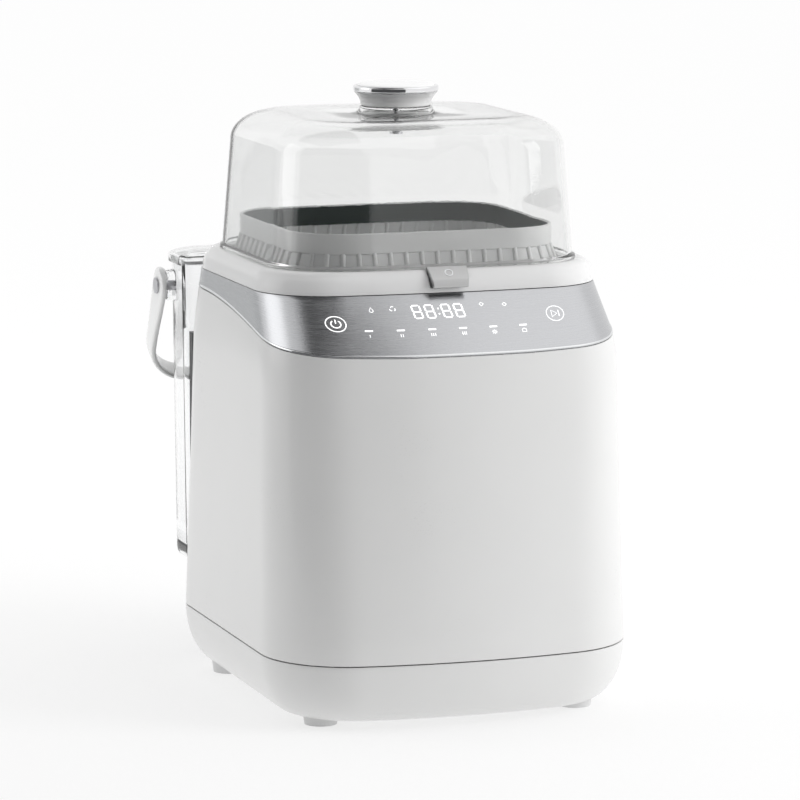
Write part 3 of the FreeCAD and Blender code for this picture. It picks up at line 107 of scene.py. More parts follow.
class Value:
    """A socket inside a shader or geometry tree; Python operators add Math nodes to its tree."""

    def __init__(self, nodes: "Nodes", socket: bpy.types.NodeSocket) -> None:
        """Keep the tree's builder and the socket."""
        self.nodes = nodes
        self.socket = socket

    def _with(self, operation: str, first: "Value | float", second: "Value | float") -> "Value":
        """Add one Math node and return its result."""
        node = self.nodes.add("ShaderNodeMath", {"operation": operation}, {0: first, 1: second})
        return Value(self.nodes, node.outputs[0])

    def __add__(self, other: "Value | float") -> "Value":
        """self + other."""
        return self._with("ADD", self, other)

    __radd__ = __add__

    def __sub__(self, other: "Value | float") -> "Value":
        """self - other."""
        return self._with("SUBTRACT", self, other)

    def __mul__(self, other: "Value | float") -> "Value":
        """self * other."""
        return self._with("MULTIPLY", self, other)


class Nodes:
    """Adds nodes to one tree."""

    def __init__(self, tree: bpy.types.NodeTree) -> None:
        """Start on a tree with nothing in it."""
        self.tree = tree
        tree.nodes.clear()

    def add(self, kind: str, settings: dict | None = None,
            inputs: dict | None = None) -> bpy.types.Node:
        """Add one node.

        Args:
            kind: the node's type name.
            settings: its properties, with "stops" for a colour ramp's (position, colour) pairs.
            inputs: values or links of its sockets, by name or number.

        Returns:
            The new node.
        """
        node = self.tree.nodes.new(kind)
        for name, value in (settings or {}).items():
            if name == "stops":
                ramp = node.color_ramp.elements
                while len(ramp) < len(value):
                    ramp.new(1.0)
                for stop, (position, colour) in zip(ramp, value):
                    stop.position, stop.color = position, (*colour, 1.0)
            else:
                setattr(node, name, value)
        for key, value in (inputs or {}).items():
            if isinstance(value, Value):
                self.tree.links.new(value.socket, node.inputs[key])
            elif isinstance(value, bpy.types.NodeSocket):
                self.tree.links.new(value, node.inputs[key])
            else:
                node.inputs[key].default_value = value
        return node

    def value(self, kind: str, settings: dict | None = None, inputs: dict | None = None,
              output: str | int = 0) -> Value:
        """Add one node and wrap one of its outputs, with the same arguments as add."""
        return Value(self, self.add(kind, settings, inputs).outputs[output])


class ShaderNodes(Nodes):
    """The patterns that the finishes share, in one material's tree."""

    def coordinates(self, stretch: Place = (1.0, 1.0, 1.0), name: str = "Object") -> Value:
        """Object or UV coordinates in metres, stretched along each axis."""
        source = self.value("ShaderNodeTexCoord", output=name)
        return self.value("ShaderNodeMapping", inputs={"Vector": source, "Scale": stretch})

    def noise(self, scale: float, detail: float = 3.0, vector: Value | None = None) -> Value:
        """Smooth noise between 0 and 1, with a number of features per metre."""
        return self.value("ShaderNodeTexNoise", inputs={
            "Scale": scale, "Detail": detail, "Vector": vector or self.coordinates()})

    def tint(self, factor: Value, low: Colour, high: Colour) -> Value:
        """A colour between two, by a factor."""
        return self.value("ShaderNodeMix", {"data_type": "RGBA"},
                          {0: factor, 6: (*low, 1.0), 7: (*high, 1.0)}, 2)

    def bump(self, height: Value, depth: float, strength: float = 1.0) -> Value:
        """A normal from a height between 0 and 1 that stands for a depth in metres."""
        return self.value("ShaderNodeBump", inputs={
            "Height": height, "Distance": depth, "Strength": strength})

    def principled(self, varied: dict, constant: dict) -> bpy.types.Node:
        """The main shader, joined to the output.

        Args:
            varied: sockets that change over the surface.
            constant: sockets with one value all over.

        Returns:
            The shader node.
        """
        shader = self.add("ShaderNodeBsdfPrincipled", inputs={**constant, **varied})
        self.add("ShaderNodeOutputMaterial", inputs={"Surface": shader.outputs[0]})
        return shader


# ------------------------------------------------------------------ finishes


def shade(colour: Colour, by: float) -> Colour:
    """A colour made lighter or darker by a factor."""
    return tuple(min(channel * by, 1.0) for channel in colour)


@dataclass(frozen=True)
class Finish:
    """A named surface finish. Each kind says how its material's nodes are made."""

    name: str
    colour: Colour

    def paint(self, nodes: ShaderNodes) -> None:
        """Fill the material's tree."""
        raise NotImplementedError

    def material(self) -> bpy.types.Material:
        """The finish's material, made once."""
        found = bpy.data.materials.get(self.name)
        if found:
            return found
        made = bpy.data.materials.new(self.name)
        made.use_nodes = True
        made.diffuse_color = (*self.colour, 1.0)
        self.paint(ShaderNodes(made.node_tree))
        return made


@dataclass(frozen=True)
class Moulded(Finish):
    """Moulded plastic or rubber: faint flow marks in the colour and a fine grain in the surface."""

    roughness: float = 0.35
    grain: float = 900.0
    depth: float = 0.00002
    coat: float = 0.0

    def paint(self, nodes: ShaderNodes) -> None:
        """Fill the material's tree."""
        flow = nodes.noise(14.0, 4.0)
        pores = nodes.noise(self.grain, 2.0)
        nodes.principled({
            "Base Color": nodes.tint(flow, shade(self.colour, 0.965), shade(self.colour, 1.02)),
            "Roughness": self.roughness + (pores - 0.5) * 0.10 + (flow - 0.5) * 0.06,
            "Normal": nodes.bump(pores, self.depth),
        }, {"Coat Weight": self.coat, "Coat Roughness": 0.08, "IOR": 1.5})


@dataclass(frozen=True)
class Brushed(Finish):
    """Metal brushed along the piece's own U direction, with long faint streaks."""

    roughness: float = 0.26
    coordinates: str = "UV"

    def paint(self, nodes: ShaderNodes) -> None:
        """Fill the material's tree."""
        fine = nodes.noise(1.0, 3.0, nodes.coordinates((55.0, 5200.0, 1.0), self.coordinates))
        broad = nodes.noise(1.0, 2.0, nodes.coordinates((16.0, 900.0, 1.0), self.coordinates))
        streaks = fine * 0.65 + broad * 0.35
        nodes.principled({
            "Base Color": nodes.tint(streaks, shade(self.colour, 0.80), shade(self.colour, 1.14)),
            "Roughness": self.roughness + (streaks - 0.5) * 0.30,
            "Normal": nodes.bump(streaks, 0.00003, 0.7),
        }, {"Metallic": 1.0})


@dataclass(frozen=True)
class Metal(Finish):
    """Plain metal: rolled sheet, plated or polished, with faint rubs."""

    roughness: float = 0.18
    stretch: Place = (60.0, 60.0, 60.0)

    def paint(self, nodes: ShaderNodes) -> None:
        """Fill the material's tree."""
        rubs = nodes.noise(1.0, 4.0, nodes.coordinates(self.stretch))
        grain = nodes.noise(1600.0, 2.0)
        nodes.principled({
            "Base Color": nodes.tint(rubs, shade(self.colour, 0.93), shade(self.colour, 1.04)),
            "Roughness": self.roughness + (rubs - 0.5) * 0.12 + (grain - 0.5) * 0.06,
            "Normal": nodes.bump(grain, 0.000008),
        }, {"Metallic": 1.0})


@dataclass(frozen=True)
class Clear(Finish):
    """Clear or frosted plastic that light goes through."""

    roughness: float = 0.02
    haze: float = 0.03
    ior: float = 1.45
    transmission: float = 1.0
    depth: float = 0.000012

    def paint(self, nodes: ShaderNodes) -> None:
        """Fill the material's tree."""
        flow = nodes.noise(22.0, 3.0)
        fine = nodes.noise(420.0, 2.0)
        nodes.principled({
            "Base Color": nodes.tint(flow, shade(self.colour, 0.985), shade(self.colour, 1.01)),
            "Roughness": self.roughness + flow * self.haze,
            "Normal": nodes.bump(fine, self.depth),
        }, {"Transmission Weight": self.transmission, "IOR": self.ior, "Specular IOR Level": 0.5})


@dataclass(frozen=True)
class Glow(Finish):
    """A glowing mark, a little uneven like the light of a small lamp behind a film; on a printed mark
    this glow is painted light.
    """

    strength: float = 0.9

    def paint(self, nodes: ShaderNodes) -> None:
        """Fill the material's tree."""
        spread = nodes.noise(260.0, 1.0)
        light = nodes.tint(spread, shade(self.colour, 0.90), self.colour)
        nodes.principled({
            "Base Color": light, "Emission Color": light, "Roughness": 0.4 + spread * 0.1,
        }, {"Emission Strength": self.strength})


@dataclass(frozen=True)
class LitSheet(Finish):
    """A pale studio sheet that is lit from behind as well, so that shadows on it stay soft."""

    strength: float = 0.62
    share: float = 0.42

    def paint(self, nodes: ShaderNodes) -> None:
        """Fill the material's tree."""
        cloud = nodes.noise(3.0, 2.0)
        grain = nodes.noise(260.0, 2.0)
        nodes.principled({
            "Base Color": nodes.tint(cloud, shade(self.colour, self.share * 0.99),
                                     shade(self.colour, self.share)),
            "Roughness": 0.75 + grain * 0.1,
            "Normal": nodes.bump(grain, 0.0001),
        }, {"Emission Color": (1.0, 1.0, 1.0, 1.0), "Emission Strength": self.strength,
            "Specular IOR Level": 0.0})


@dataclass(frozen=True)
class Circuit(Finish):
    """A circuit board's lacquer with lighter copper tracks under it."""

    def paint(self, nodes: ShaderNodes) -> None:
        """Fill the material's tree."""
        tracks = nodes.value("ShaderNodeTexBrick", {"offset": 0.35}, {
            "Scale": 90.0, "Mortar Size": 0.05, "Vector": nodes.coordinates()}, "Fac")
        lacquer = nodes.noise(180.0, 3.0)
        nodes.principled({
            "Base Color": nodes.tint(tracks, shade(self.colour, 0.8), shade(self.colour, 2.1)),
            "Roughness": 0.30 + lacquer * 0.15,
            "Normal": nodes.bump(tracks, 0.00003),
        }, {"Coat Weight": 0.3})


WHITE = Moulded("satin_white_shell", (0.765, 0.765, 0.76),
                roughness=0.30, depth=0.000012, coat=0.25)
KNOB_WHITE = Moulded("smooth_white_knob", (0.95, 0.95, 0.95),
                     roughness=0.22, depth=0.000006, coat=0.4)
INNER_GREY = Moulded("light_grey_moulding", (0.60, 0.61, 0.61), roughness=0.45, depth=0.00003)
DARK = Moulded("dark_grey_moulding", (0.035, 0.036, 0.038), roughness=0.42, depth=0.00003)
BASKET_WHITE = Moulded("tray_plastic", (0.93, 0.935, 0.93), roughness=0.30, depth=0.00001, coat=0.2)
LINER_DARK = Moulded("dark_green_grey_band", (0.03, 0.045, 0.040), roughness=0.35)
SILICONE = Moulded("milky_silicone", (0.74, 0.75, 0.74), roughness=0.55, depth=0.00004)
RUBBER = Moulded("grey_rubber_foot", (0.70, 0.70, 0.70),
                 roughness=0.65, grain=1500.0, depth=0.00005)
HANDLE_GREY = Moulded("milky_handle", (0.93, 0.935, 0.93), roughness=0.25, depth=0.000008, coat=0.3)
BAND = Brushed("brushed_band", (0.54, 0.545, 0.56))
BAND_EDGE = Metal("polished_band_edge", (0.78, 0.79, 0.80), roughness=0.10)
CHROME = Metal("knob_chrome", (0.80, 0.80, 0.81), roughness=0.06)
LATCH = Metal("satin_latch", (0.56, 0.56, 0.56), roughness=0.34, stretch=(40.0, 2400.0, 2400.0))
STEEL = Metal("pressed_steel", (0.62, 0.62, 0.63), roughness=0.26, stretch=(30.0, 30.0, 900.0))
SCREW_STEEL = Metal("screw_steel", (0.55, 0.55, 0.57), roughness=0.30)
MOTOR_CAN = Metal("zinc_can", (0.42, 0.43, 0.45), roughness=0.40, stretch=(200.0, 200.0, 200.0))
DOME_CLEAR = Clear("clear_dome", (0.945, 0.947, 0.945), roughness=0.0, haze=0.03)
TANK_CLEAR = Clear("clear_tank", (0.985, 0.988, 0.99), roughness=0.01, haze=0.03)
FROSTED = Clear("frosted_ring", (0.94, 0.94, 0.94), roughness=0.35, haze=0.15,
                transmission=0.20, depth=0.00005)
MARK = Glow("lit_mark", (1.0, 1.0, 1.0))
# A printed mark with a glow of its own: painted light, not a lamp.
GLOWING_PRINT_MARK = Glow("printed_mark_painted_glow", (0.95, 0.96, 0.97), strength=0.75)
BOARD = Circuit("circuit_lacquer", (0.02, 0.10, 0.05))
DISPLAY = Moulded("display_block", (0.02, 0.02, 0.022), roughness=0.15, coat=0.6)
LID_RING = Clear("cloudy_lid_ring", (0.97, 0.97, 0.97),
                 roughness=0.06, haze=0.05, transmission=0.22)
FLOOR = LitSheet("pale_floor", (0.90, 0.90, 0.90))


# ------------------------------------------------------------------ outlines


@dataclass(frozen=True)
class Plan:
    """A level outline with rounded corners and, if wanted, bowed front and rear edges."""

    half: float
    front: float
    rear: float
    front_r: float
    rear_r: float
    front_bow: float = 0.0
    rear_bow: float = 0.0

    def inset(self, by: float, share: float = 1.0) -> "Plan":
        """The outline moved in by a distance; share says how much of it the corners give up."""
        return Plan(self.half - by, self.front + by, self.rear - by,
                    max(self.front_r - by * share, LEAST_RADIUS),
                    max(self.rear_r - by * share, LEAST_RADIUS),
                    self.front_bow - by if self.front_bow else 0.0,
                    self.rear_bow - by if self.rear_bow else 0.0)

    def _end(self, edge: float, radius: float, bow: float, inward: int) -> list[Point]:
        """Points of one end's right half, from its middle to where the straight side begins."""
        x = self.half - radius
        if bow:
            middle = edge + inward * bow
            centre = (x, middle - inward * math.sqrt((bow - radius) ** 2 - x * x))
            reach = math.atan2(centre[0], inward * (middle - centre[1]))
            turns = [reach * i / EDGE_STEPS for i in range(EDGE_STEPS)]
            flat = [(bow * math.sin(turn), middle - inward * bow * math.cos(turn)) for turn in turns]
        else:
            centre, reach = (x, edge + inward * radius), 0.0
            flat = [(x * i / EDGE_STEPS, edge) for i in range(EDGE_STEPS)] if x > 1e-6 else []
        for i in range(CORNER_STEPS + 1):
            turn = reach + (math.pi / 2 - reach) * i / CORNER_STEPS
            flat.append((centre[0] + radius * math.sin(turn),
                         centre[1] - inward * radius * math.cos(turn)))
        return flat

    def ring(self, z: float, count: int = RING_POINTS) -> list[Vector]:
        """Evenly spaced points round the outline, anticlockwise from the middle of the rear.

        Args:
            z: the height of the ring.
            count: how many points, an even number.

        Returns:
            The points.
        """
        right = self._end(self.rear, self.rear_r, self.rear_bow, -1)
        right += self._end(self.front, self.front_r, self.front_bow, 1)[::-1]
        lengths = [0.0]
        for a, b in zip(right, right[1:]):
            lengths.append(lengths[-1] + math.dist(a, b))
        half_count = count // 2
        points: list[Point] = []
        index = 0
        for i in range(half_count + 1):
            walked = lengths[-1] * i / half_count
            while index < len(right) - 2 and lengths[index + 1] < walked:
                index += 1
            run = lengths[index + 1] - lengths[index]
            share = (walked - lengths[index]) / run if run > 1e-9 else 0.0
            points.append(tuple(a + (b - a) * share for a, b in zip(right[index], right[index + 1])))
        left = [(-x, y) for x, y in points]
        return [Vector((x, y, z)) for x, y in left + points[-2:0:-1]]


def circle(radius: float, z: float, centre_y: float, count: int = RING_POINTS) -> list[Vector]:
    """Points round a circle on the dome's axis, in the same order as an outline's ring."""
    turns = [math.pi / 2 + 2 * math.pi * i / count for i in range(count)]
    return [Vector((radius * math.cos(turn), centre_y + radius * math.sin(turn), z))
            for turn in turns]


# ------------------------------------------------------------------ meshes


@dataclass
class Skin:
    """A mesh under construction, in millimetres, with a UV map in metres."""

    points: list[Vector] = field(default_factory=list)
    faces: list[tuple[int, ...]] = field(default_factory=list)
    maps: list[tuple[Point, ...]] = field(default_factory=list)

    def face(self, corners: Sequence[Vector]) -> None:
        """Add one face with points of its own."""
        start = len(self.points)
        self.points += [Vector(corner) for corner in corners]
        self.faces.append(tuple(range(start, start + len(corners))))
        self.maps.append(tuple((corner[0] * MM, corner[2] * MM) for corner in corners))

    def join(self, other: "Skin") -> None:
        """Add another skin's faces."""
        start = len(self.points)
        self.points += other.points
        self.faces += [tuple(start + corner for corner in face) for face in other.faces]
        self.maps += other.maps

    def fill(self, corners: Sequence[int]) -> None:
        """Add one face over points that are there, mapped from above."""
        self.faces.append(tuple(corners))
        self.maps.append(tuple((self.points[c][0] * MM, self.points[c][1] * MM) for c in corners))

    def loft(self, rings: Sequence[Sequence[Vector]], wrap: bool = False,
             caps: tuple[bool, bool] = (False, False)) -> None:
        """Join rings of equal count to a surface.

        Args:
            rings: the rings in order; anticlockwise rings that rise give outward faces.
            wrap: whether the last ring joins the first.
            caps: whether the first and the last ring are filled.
        """
        count, start = len(rings[0]), len(self.points)
        around, along = [0.0], [0.0]
        for j in range(count):
            around.append(around[-1] + (rings[0][(j + 1) % count] - rings[0][j]).length * MM)
        for below, above in zip(rings, [*rings[1:], rings[0]]):
            along.append(along[-1] + (above[count // 2] - below[count // 2]).length * MM)
        for ring in rings:
            self.points += [Vector(point) for point in ring]
        for i in range(len(rings) if wrap else len(rings) - 1):
            upper = (i + 1) % len(rings)
            for j in range(count):
                k = (j + 1) % count
                self.faces.append((start + i * count + j, start + i * count + k,
                                   start + upper * count + k, start + upper * count + j))
                self.maps.append(((around[j], along[i]), (around[j + 1], along[i]),
                                  (around[j + 1], along[i + 1]), (around[j], along[i + 1])))
        if caps[0]:
            self.fill(range(start + count - 1, start - 1, -1))
        if caps[1]:
            last = start + (len(rings) - 1) * count
            self.fill(range(last, last + count))

    def object(self, name: str, finish: Finish, sharp: float = SHARP_ANGLE) -> bpy.types.Object:
        """Make the object: metres, smooth faces, sharp edges above an angle.

        Args:
            name: the piece's name.
            finish: the finish of all its faces.
            sharp: the angle in degrees above which an edge stays sharp.

        Returns:
            The linked object.
        """
        mesh = bpy.data.meshes.new(name)
        mesh.from_pydata([point * MM for point in self.points], [], self.faces)
        layer = mesh.uv_layers.new(name="UVMap")
        flat = [channel for corners in self.maps for pair in corners for channel in pair]
        layer.data.foreach_set("uv", flat)
        mesh.polygons.foreach_set("use_smooth", [True] * len(mesh.polygons))
        mesh.update()
        mesh.set_sharp_from_angle(angle=math.radians(sharp))
        mesh.materials.append(finish.material())
        made = bpy.data.objects.new(name, mesh)
        bpy.context.scene.collection.objects.link(made)
        return made


def lofted(rings: Sequence[Sequence[Vector]], wrap: bool = False,
           caps: tuple[bool, bool] = (False, False)) -> Skin:
    """A new skin of one loft, with the same arguments as Skin.loft."""
    skin = Skin()
    skin.loft(rings, wrap, caps)
    return skin


def bevelled(made: bpy.types.Object, width: float, segments: int = 3) -> bpy.types.Object:
    """Round an object's sharp edges by a width in millimetres."""
    edge = made.modifiers.new("rounded_edges", "BEVEL")
    edge.width = width * MM
    edge.segments = segments
    edge.limit_method = "ANGLE"
    edge.angle_limit = math.radians(SHARP_ANGLE)
    edge.harden_normals = False
    return made


def walled(made: bpy.types.Object, thickness: float) -> bpy.types.Object:
    """Give a skin a wall behind its outer side, in millimetres."""
    wall = made.modifiers.new("wall", "SOLIDIFY")
    wall.thickness = thickness * MM
    wall.offset = -1.0
    wall.use_even_offset = True
    return made


def baked(made: bpy.types.Object) -> bpy.types.Object:
    """Turn an object with its modifiers into a plain mesh."""
    graph = bpy.context.evaluated_depsgraph_get()
    mesh = bpy.data.meshes.new_from_object(made.evaluated_get(graph))
    made.modifiers.clear()
    made.data = mesh
    mesh.name = made.name
    return made


def carved(made: bpy.types.Object, cutter: Skin, finish: Finish) -> bpy.types.Object:
    """Cut one piece by a closed skin and keep it as a plain mesh with one finish."""
    tool = cutter.object(f"{made.name}_cutter", DARK)
    cut = made.modifiers.new("cut", "BOOLEAN")
    cut.operation = "DIFFERENCE"
    cut.solver = "EXACT"
    cut.object = tool
    baked(made)
    bpy.data.objects.remove(tool)
    made.data.materials.clear()
    made.data.materials.append(finish.material())
    return made


def slab(low: Place, high: Place) -> Skin:
    """A closed box between two corners."""
    (x0, y0, z0), (x1, y1, z1) = low, high
    base = [Vector((x0, y0, z0)), Vector((x1, y0, z0)), Vector((x1, y1, z0)), Vector((x0, y1, z0))]
    return lofted([base, [corner + Vector((0, 0, z1 - z0)) for corner in base]], caps=(True, True))


def squared(wave: float, power: float) -> float:
    """A sine or cosine raised to a power below one, which squares a circle's corners."""
    return math.copysign(abs(wave) ** power, wave)


def turned_rings(profile: Sequence[Point], centre_y: float, base_z: float,
                 count: int = 96) -> list[list[Vector]]:
    """Rings of a turned piece from (radius, height) pairs that rise on the outside."""
    return [circle(max(radius, CENTRE_RADIUS), base_z + z, centre_y, count) for radius, z in profile]


def smooth_through(profile: Sequence[Point], steps: int = 6) -> list[Point]:
    """More points on a smooth curve through a few."""
    padded = [profile[0], *profile, profile[-1]]
    curve: list[Point] = []
    for a, b, c, d in zip(padded, padded[1:], padded[2:], padded[3:]):
        for i in range(steps):
            t = i / steps
            curve.append(tuple(
                0.5 * (2 * q + (r - p) * t + (2 * p - 5 * q + 4 * r - s) * t * t
                       + (3 * q - p - 3 * r + s) * t ** 3)
                for p, q, r, s in zip(a, b, c, d)))
    return [*curve, tuple(profile[-1])]


# ------------------------------------------------------------------ repeated pieces


class Pattern(Nodes):
    """A geometry tree that repeats a small shape, with named inputs for its sizes."""

    def __init__(self, name: str, sizes: dict[str, float]) -> None:
        """Make the tree's interface.

        Args:
            name: the tree's name.
            sizes: default values of its number inputs, by name.
        """
        tree = bpy.data.node_groups.new(name, "GeometryNodeTree")
        tree.interface.new_socket("Geometry", in_out="INPUT", socket_type="NodeSocketGeometry")
        tree.interface.new_socket("Geometry", in_out="OUTPUT", socket_type="NodeSocketGeometry")
        for label, size in sizes.items():
            socket = tree.interface.new_socket(label, in_out="INPUT", socket_type="NodeSocketFloat")
            socket.default_value = size
        super().__init__(tree)
        self.sizes = sizes
        self.given = self.add("NodeGroupInput")

    def input(self, label: str) -> Value:
        """One of the tree's named inputs."""
        return Value(self, self.given.outputs[label])

    def xyz(self, x: Value | float, y: Value | float, z: Value | float) -> Value:
        """A vector from three numbers."""
        return self.value("ShaderNodeCombineXYZ", inputs={0: x, 1: y, 2: z})

    def finish(self, geometry: Value, finish: Finish) -> None:
        """End the tree in Realize Instances and Set Material."""
        real = self.value("GeometryNodeRealizeInstances", inputs={"Geometry": geometry})
        dressed = self.value("GeometryNodeSetMaterial", inputs={
            "Geometry": real, "Material": finish.material()})
        self.add("NodeGroupOutput", inputs={"Geometry": dressed})

    def run(self, made: bpy.types.Object, sharp: float | None = PATTERN_ANGLE) -> bpy.types.Object:
        """Run the tree on an object and keep the result as a plain, smooth mesh.

        Args:
            made: the object with the points or edges that the tree works on.
            sharp: the angle in degrees above which an edge stays sharp, or None for no such edges.

        Returns:
            The same object.
        """
        modifier = made.modifiers.new(made.name, "NODES")
        modifier.node_group = self.tree
        for item in self.tree.interface.items_tree:
            if item.in_out == "INPUT" and item.name in self.sizes:
                modifier[item.identifier] = float(self.sizes[item.name])
        baked(made)
        made.data.polygons.foreach_set("use_smooth", [True] * len(made.data.polygons))
        if sharp is not None:
            made.data.set_sharp_from_angle(angle=math.radians(sharp))
        return made


class RibRing(Pattern):
    """Ribs that stand round a closed line, each leaning outwards at its foot."""

    def __init__(self, name: str, pitch: float, tall: float, thick: float, lean: float,
                 finish: Finish) -> None:
        """Build the tree; lengths are in millimetres and lean is in degrees."""
        super().__init__(name, {"Pitch": pitch * MM, "Height": tall * MM,
                                "Radius": thick / 2 * MM, "Lean": math.radians(lean)})
        height = self.input("Height")
        line = self.value("GeometryNodeMeshToCurve", inputs={"Mesh": self.input("Geometry")})
        points = self.add("GeometryNodeCurveToPoints", {"mode": "LENGTH"},
                          {"Curve": line, "Length": self.input("Pitch")})
        spine = self.value("GeometryNodeCurveQuadraticBezier", inputs={
            "Resolution": 5,
            "Start": self.xyz(0.0, height * 0.02, height * 0.5),
            "Middle": self.xyz(0.0, height * 0.05, 0.0),
            "End": self.xyz(0.0, height * -0.02, height * -0.5)})
        section = self.value("GeometryNodeCurvePrimitiveCircle", inputs={
            "Resolution": 8, "Radius": self.input("Radius")})
        rib = self.value("GeometryNodeCurveToMesh", inputs={
            "Curve": spine, "Profile Curve": section, "Fill Caps": True})
        leaning = self.value("GeometryNodeTransform", inputs={
            "Geometry": rib, "Rotation": self.xyz(self.input("Lean"), 0.0, 0.0)})
        facing = self.value("FunctionNodeAlignRotationToVector", {"axis": "X", "pivot_axis": "Z"},
                            {"Vector": points.outputs["Tangent"]})
        ribs = self.value("GeometryNodeInstanceOnPoints", inputs={
            "Points": points.outputs["Points"], "Instance": leaning, "Rotation": facing})
        self.finish(ribs, finish)


class Studs(Pattern):
    """Round-headed screws on a set of points: a lens-shaped head with a rim."""

    def __init__(self, name: str, radius: float, height: float, turn: float, finish: Finish) -> None:
        """Build the tree; lengths are in millimetres and turn is degrees about X."""
        super().__init__(name, {"Radius": radius * MM, "Height": height * MM,
                                "Turn": math.radians(turn)})
        ball = self.value("GeometryNodeMeshUVSphere", inputs={
            "Segments": 20, "Rings": 8, "Radius": self.input("Radius")})
        flat = self.value("GeometryNodeTransform", inputs={
            "Geometry": ball,
            "Scale": self.xyz(1.0, 1.0, self.input("Height") * (1.0 / (radius * MM)))})
        sunk = self.value("GeometryNodeMeshCone", inputs={
            "Vertices": 6, "Radius Top": self.input("Radius") * 0.45,
            "Radius Bottom": self.input("Radius") * 0.36, "Depth": self.input("Height") * 1.2})
        socket = self.value("GeometryNodeTransform", inputs={
            "Geometry": sunk, "Translation": self.xyz(0.0, 0.0, self.input("Height") * 0.35)})
        head = self.add("GeometryNodeMeshBoolean", {"operation": "DIFFERENCE"}, {"Mesh 1": flat})
        self.tree.links.new(socket.socket, head.inputs["Mesh 2"])
        placed = self.value("GeometryNodeInstanceOnPoints", inputs={
            "Points": self.input("Geometry"), "Instance": head.outputs["Mesh"],
            "Rotation": self.xyz(self.input("Turn"), 0.0, 0.0)})
        self.finish(placed, finish)


class Bars(Pattern):
    """Parallel rounded bars along Y, each as long as its point's own length attribute."""

    def __init__(self, name: str, radius: float, squash: float, finish: Finish) -> None:
        """Build the tree; the radius is in millimetres and squash flattens the bars in height."""
        super().__init__(name, {"Radius": radius * MM, "Squash": squash})
        bar = self.value("GeometryNodeMeshCylinder", {"fill_type": "NGON"}, {
            "Vertices": 10, "Radius": self.input("Radius"), "Depth": 1.0})
        lying = self.value("GeometryNodeTransform", inputs={
            "Geometry": bar, "Rotation": self.xyz(math.pi / 2, 0.0, 0.0)})
        length = self.value("GeometryNodeInputNamedAttribute", {"data_type": "FLOAT"},
                            {"Name": "length"})
        placed = self.value("GeometryNodeInstanceOnPoints", inputs={
            "Points": self.input("Geometry"), "Instance": lying,
            "Scale": self.xyz(1.0, length, self.input("Squash"))})
        self.finish(placed, finish)

    def lay(self, name: str, places: Sequence[tuple[Vector, float]],
            finish: Finish) -> bpy.types.Object:
        """Lay bars at places with lengths, in millimetres, and keep them as a plain mesh."""
        made = Skin(points=[place for place, _ in places]).object(name, finish)
        lengths = made.data.attributes.new("length", "FLOAT", "POINT")
        lengths.data.foreach_set("value", [length * MM for _, length in places])
        return self.run(made)


# ------------------------------------------------------------------ handing pieces over


def deliver(made: bpy.types.Object, body: str, slot: Slot, *replaced: str) -> None:
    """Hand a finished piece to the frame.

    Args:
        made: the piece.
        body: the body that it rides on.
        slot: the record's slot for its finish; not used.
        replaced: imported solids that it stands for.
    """
    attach(made, body)
    if replaced:
        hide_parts(*replaced)
    log.info("%s rides on %s", made.name, body)


def dress(finish: Finish, *nodes: str) -> None:
    """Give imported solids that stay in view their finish."""
    for name in nodes:
        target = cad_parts[name]
        for slot in target.material_slots:
            slot.material = finish.material()
        log.info("%s dressed in %s", name, finish.name)


# ------------------------------------------------------------------ body


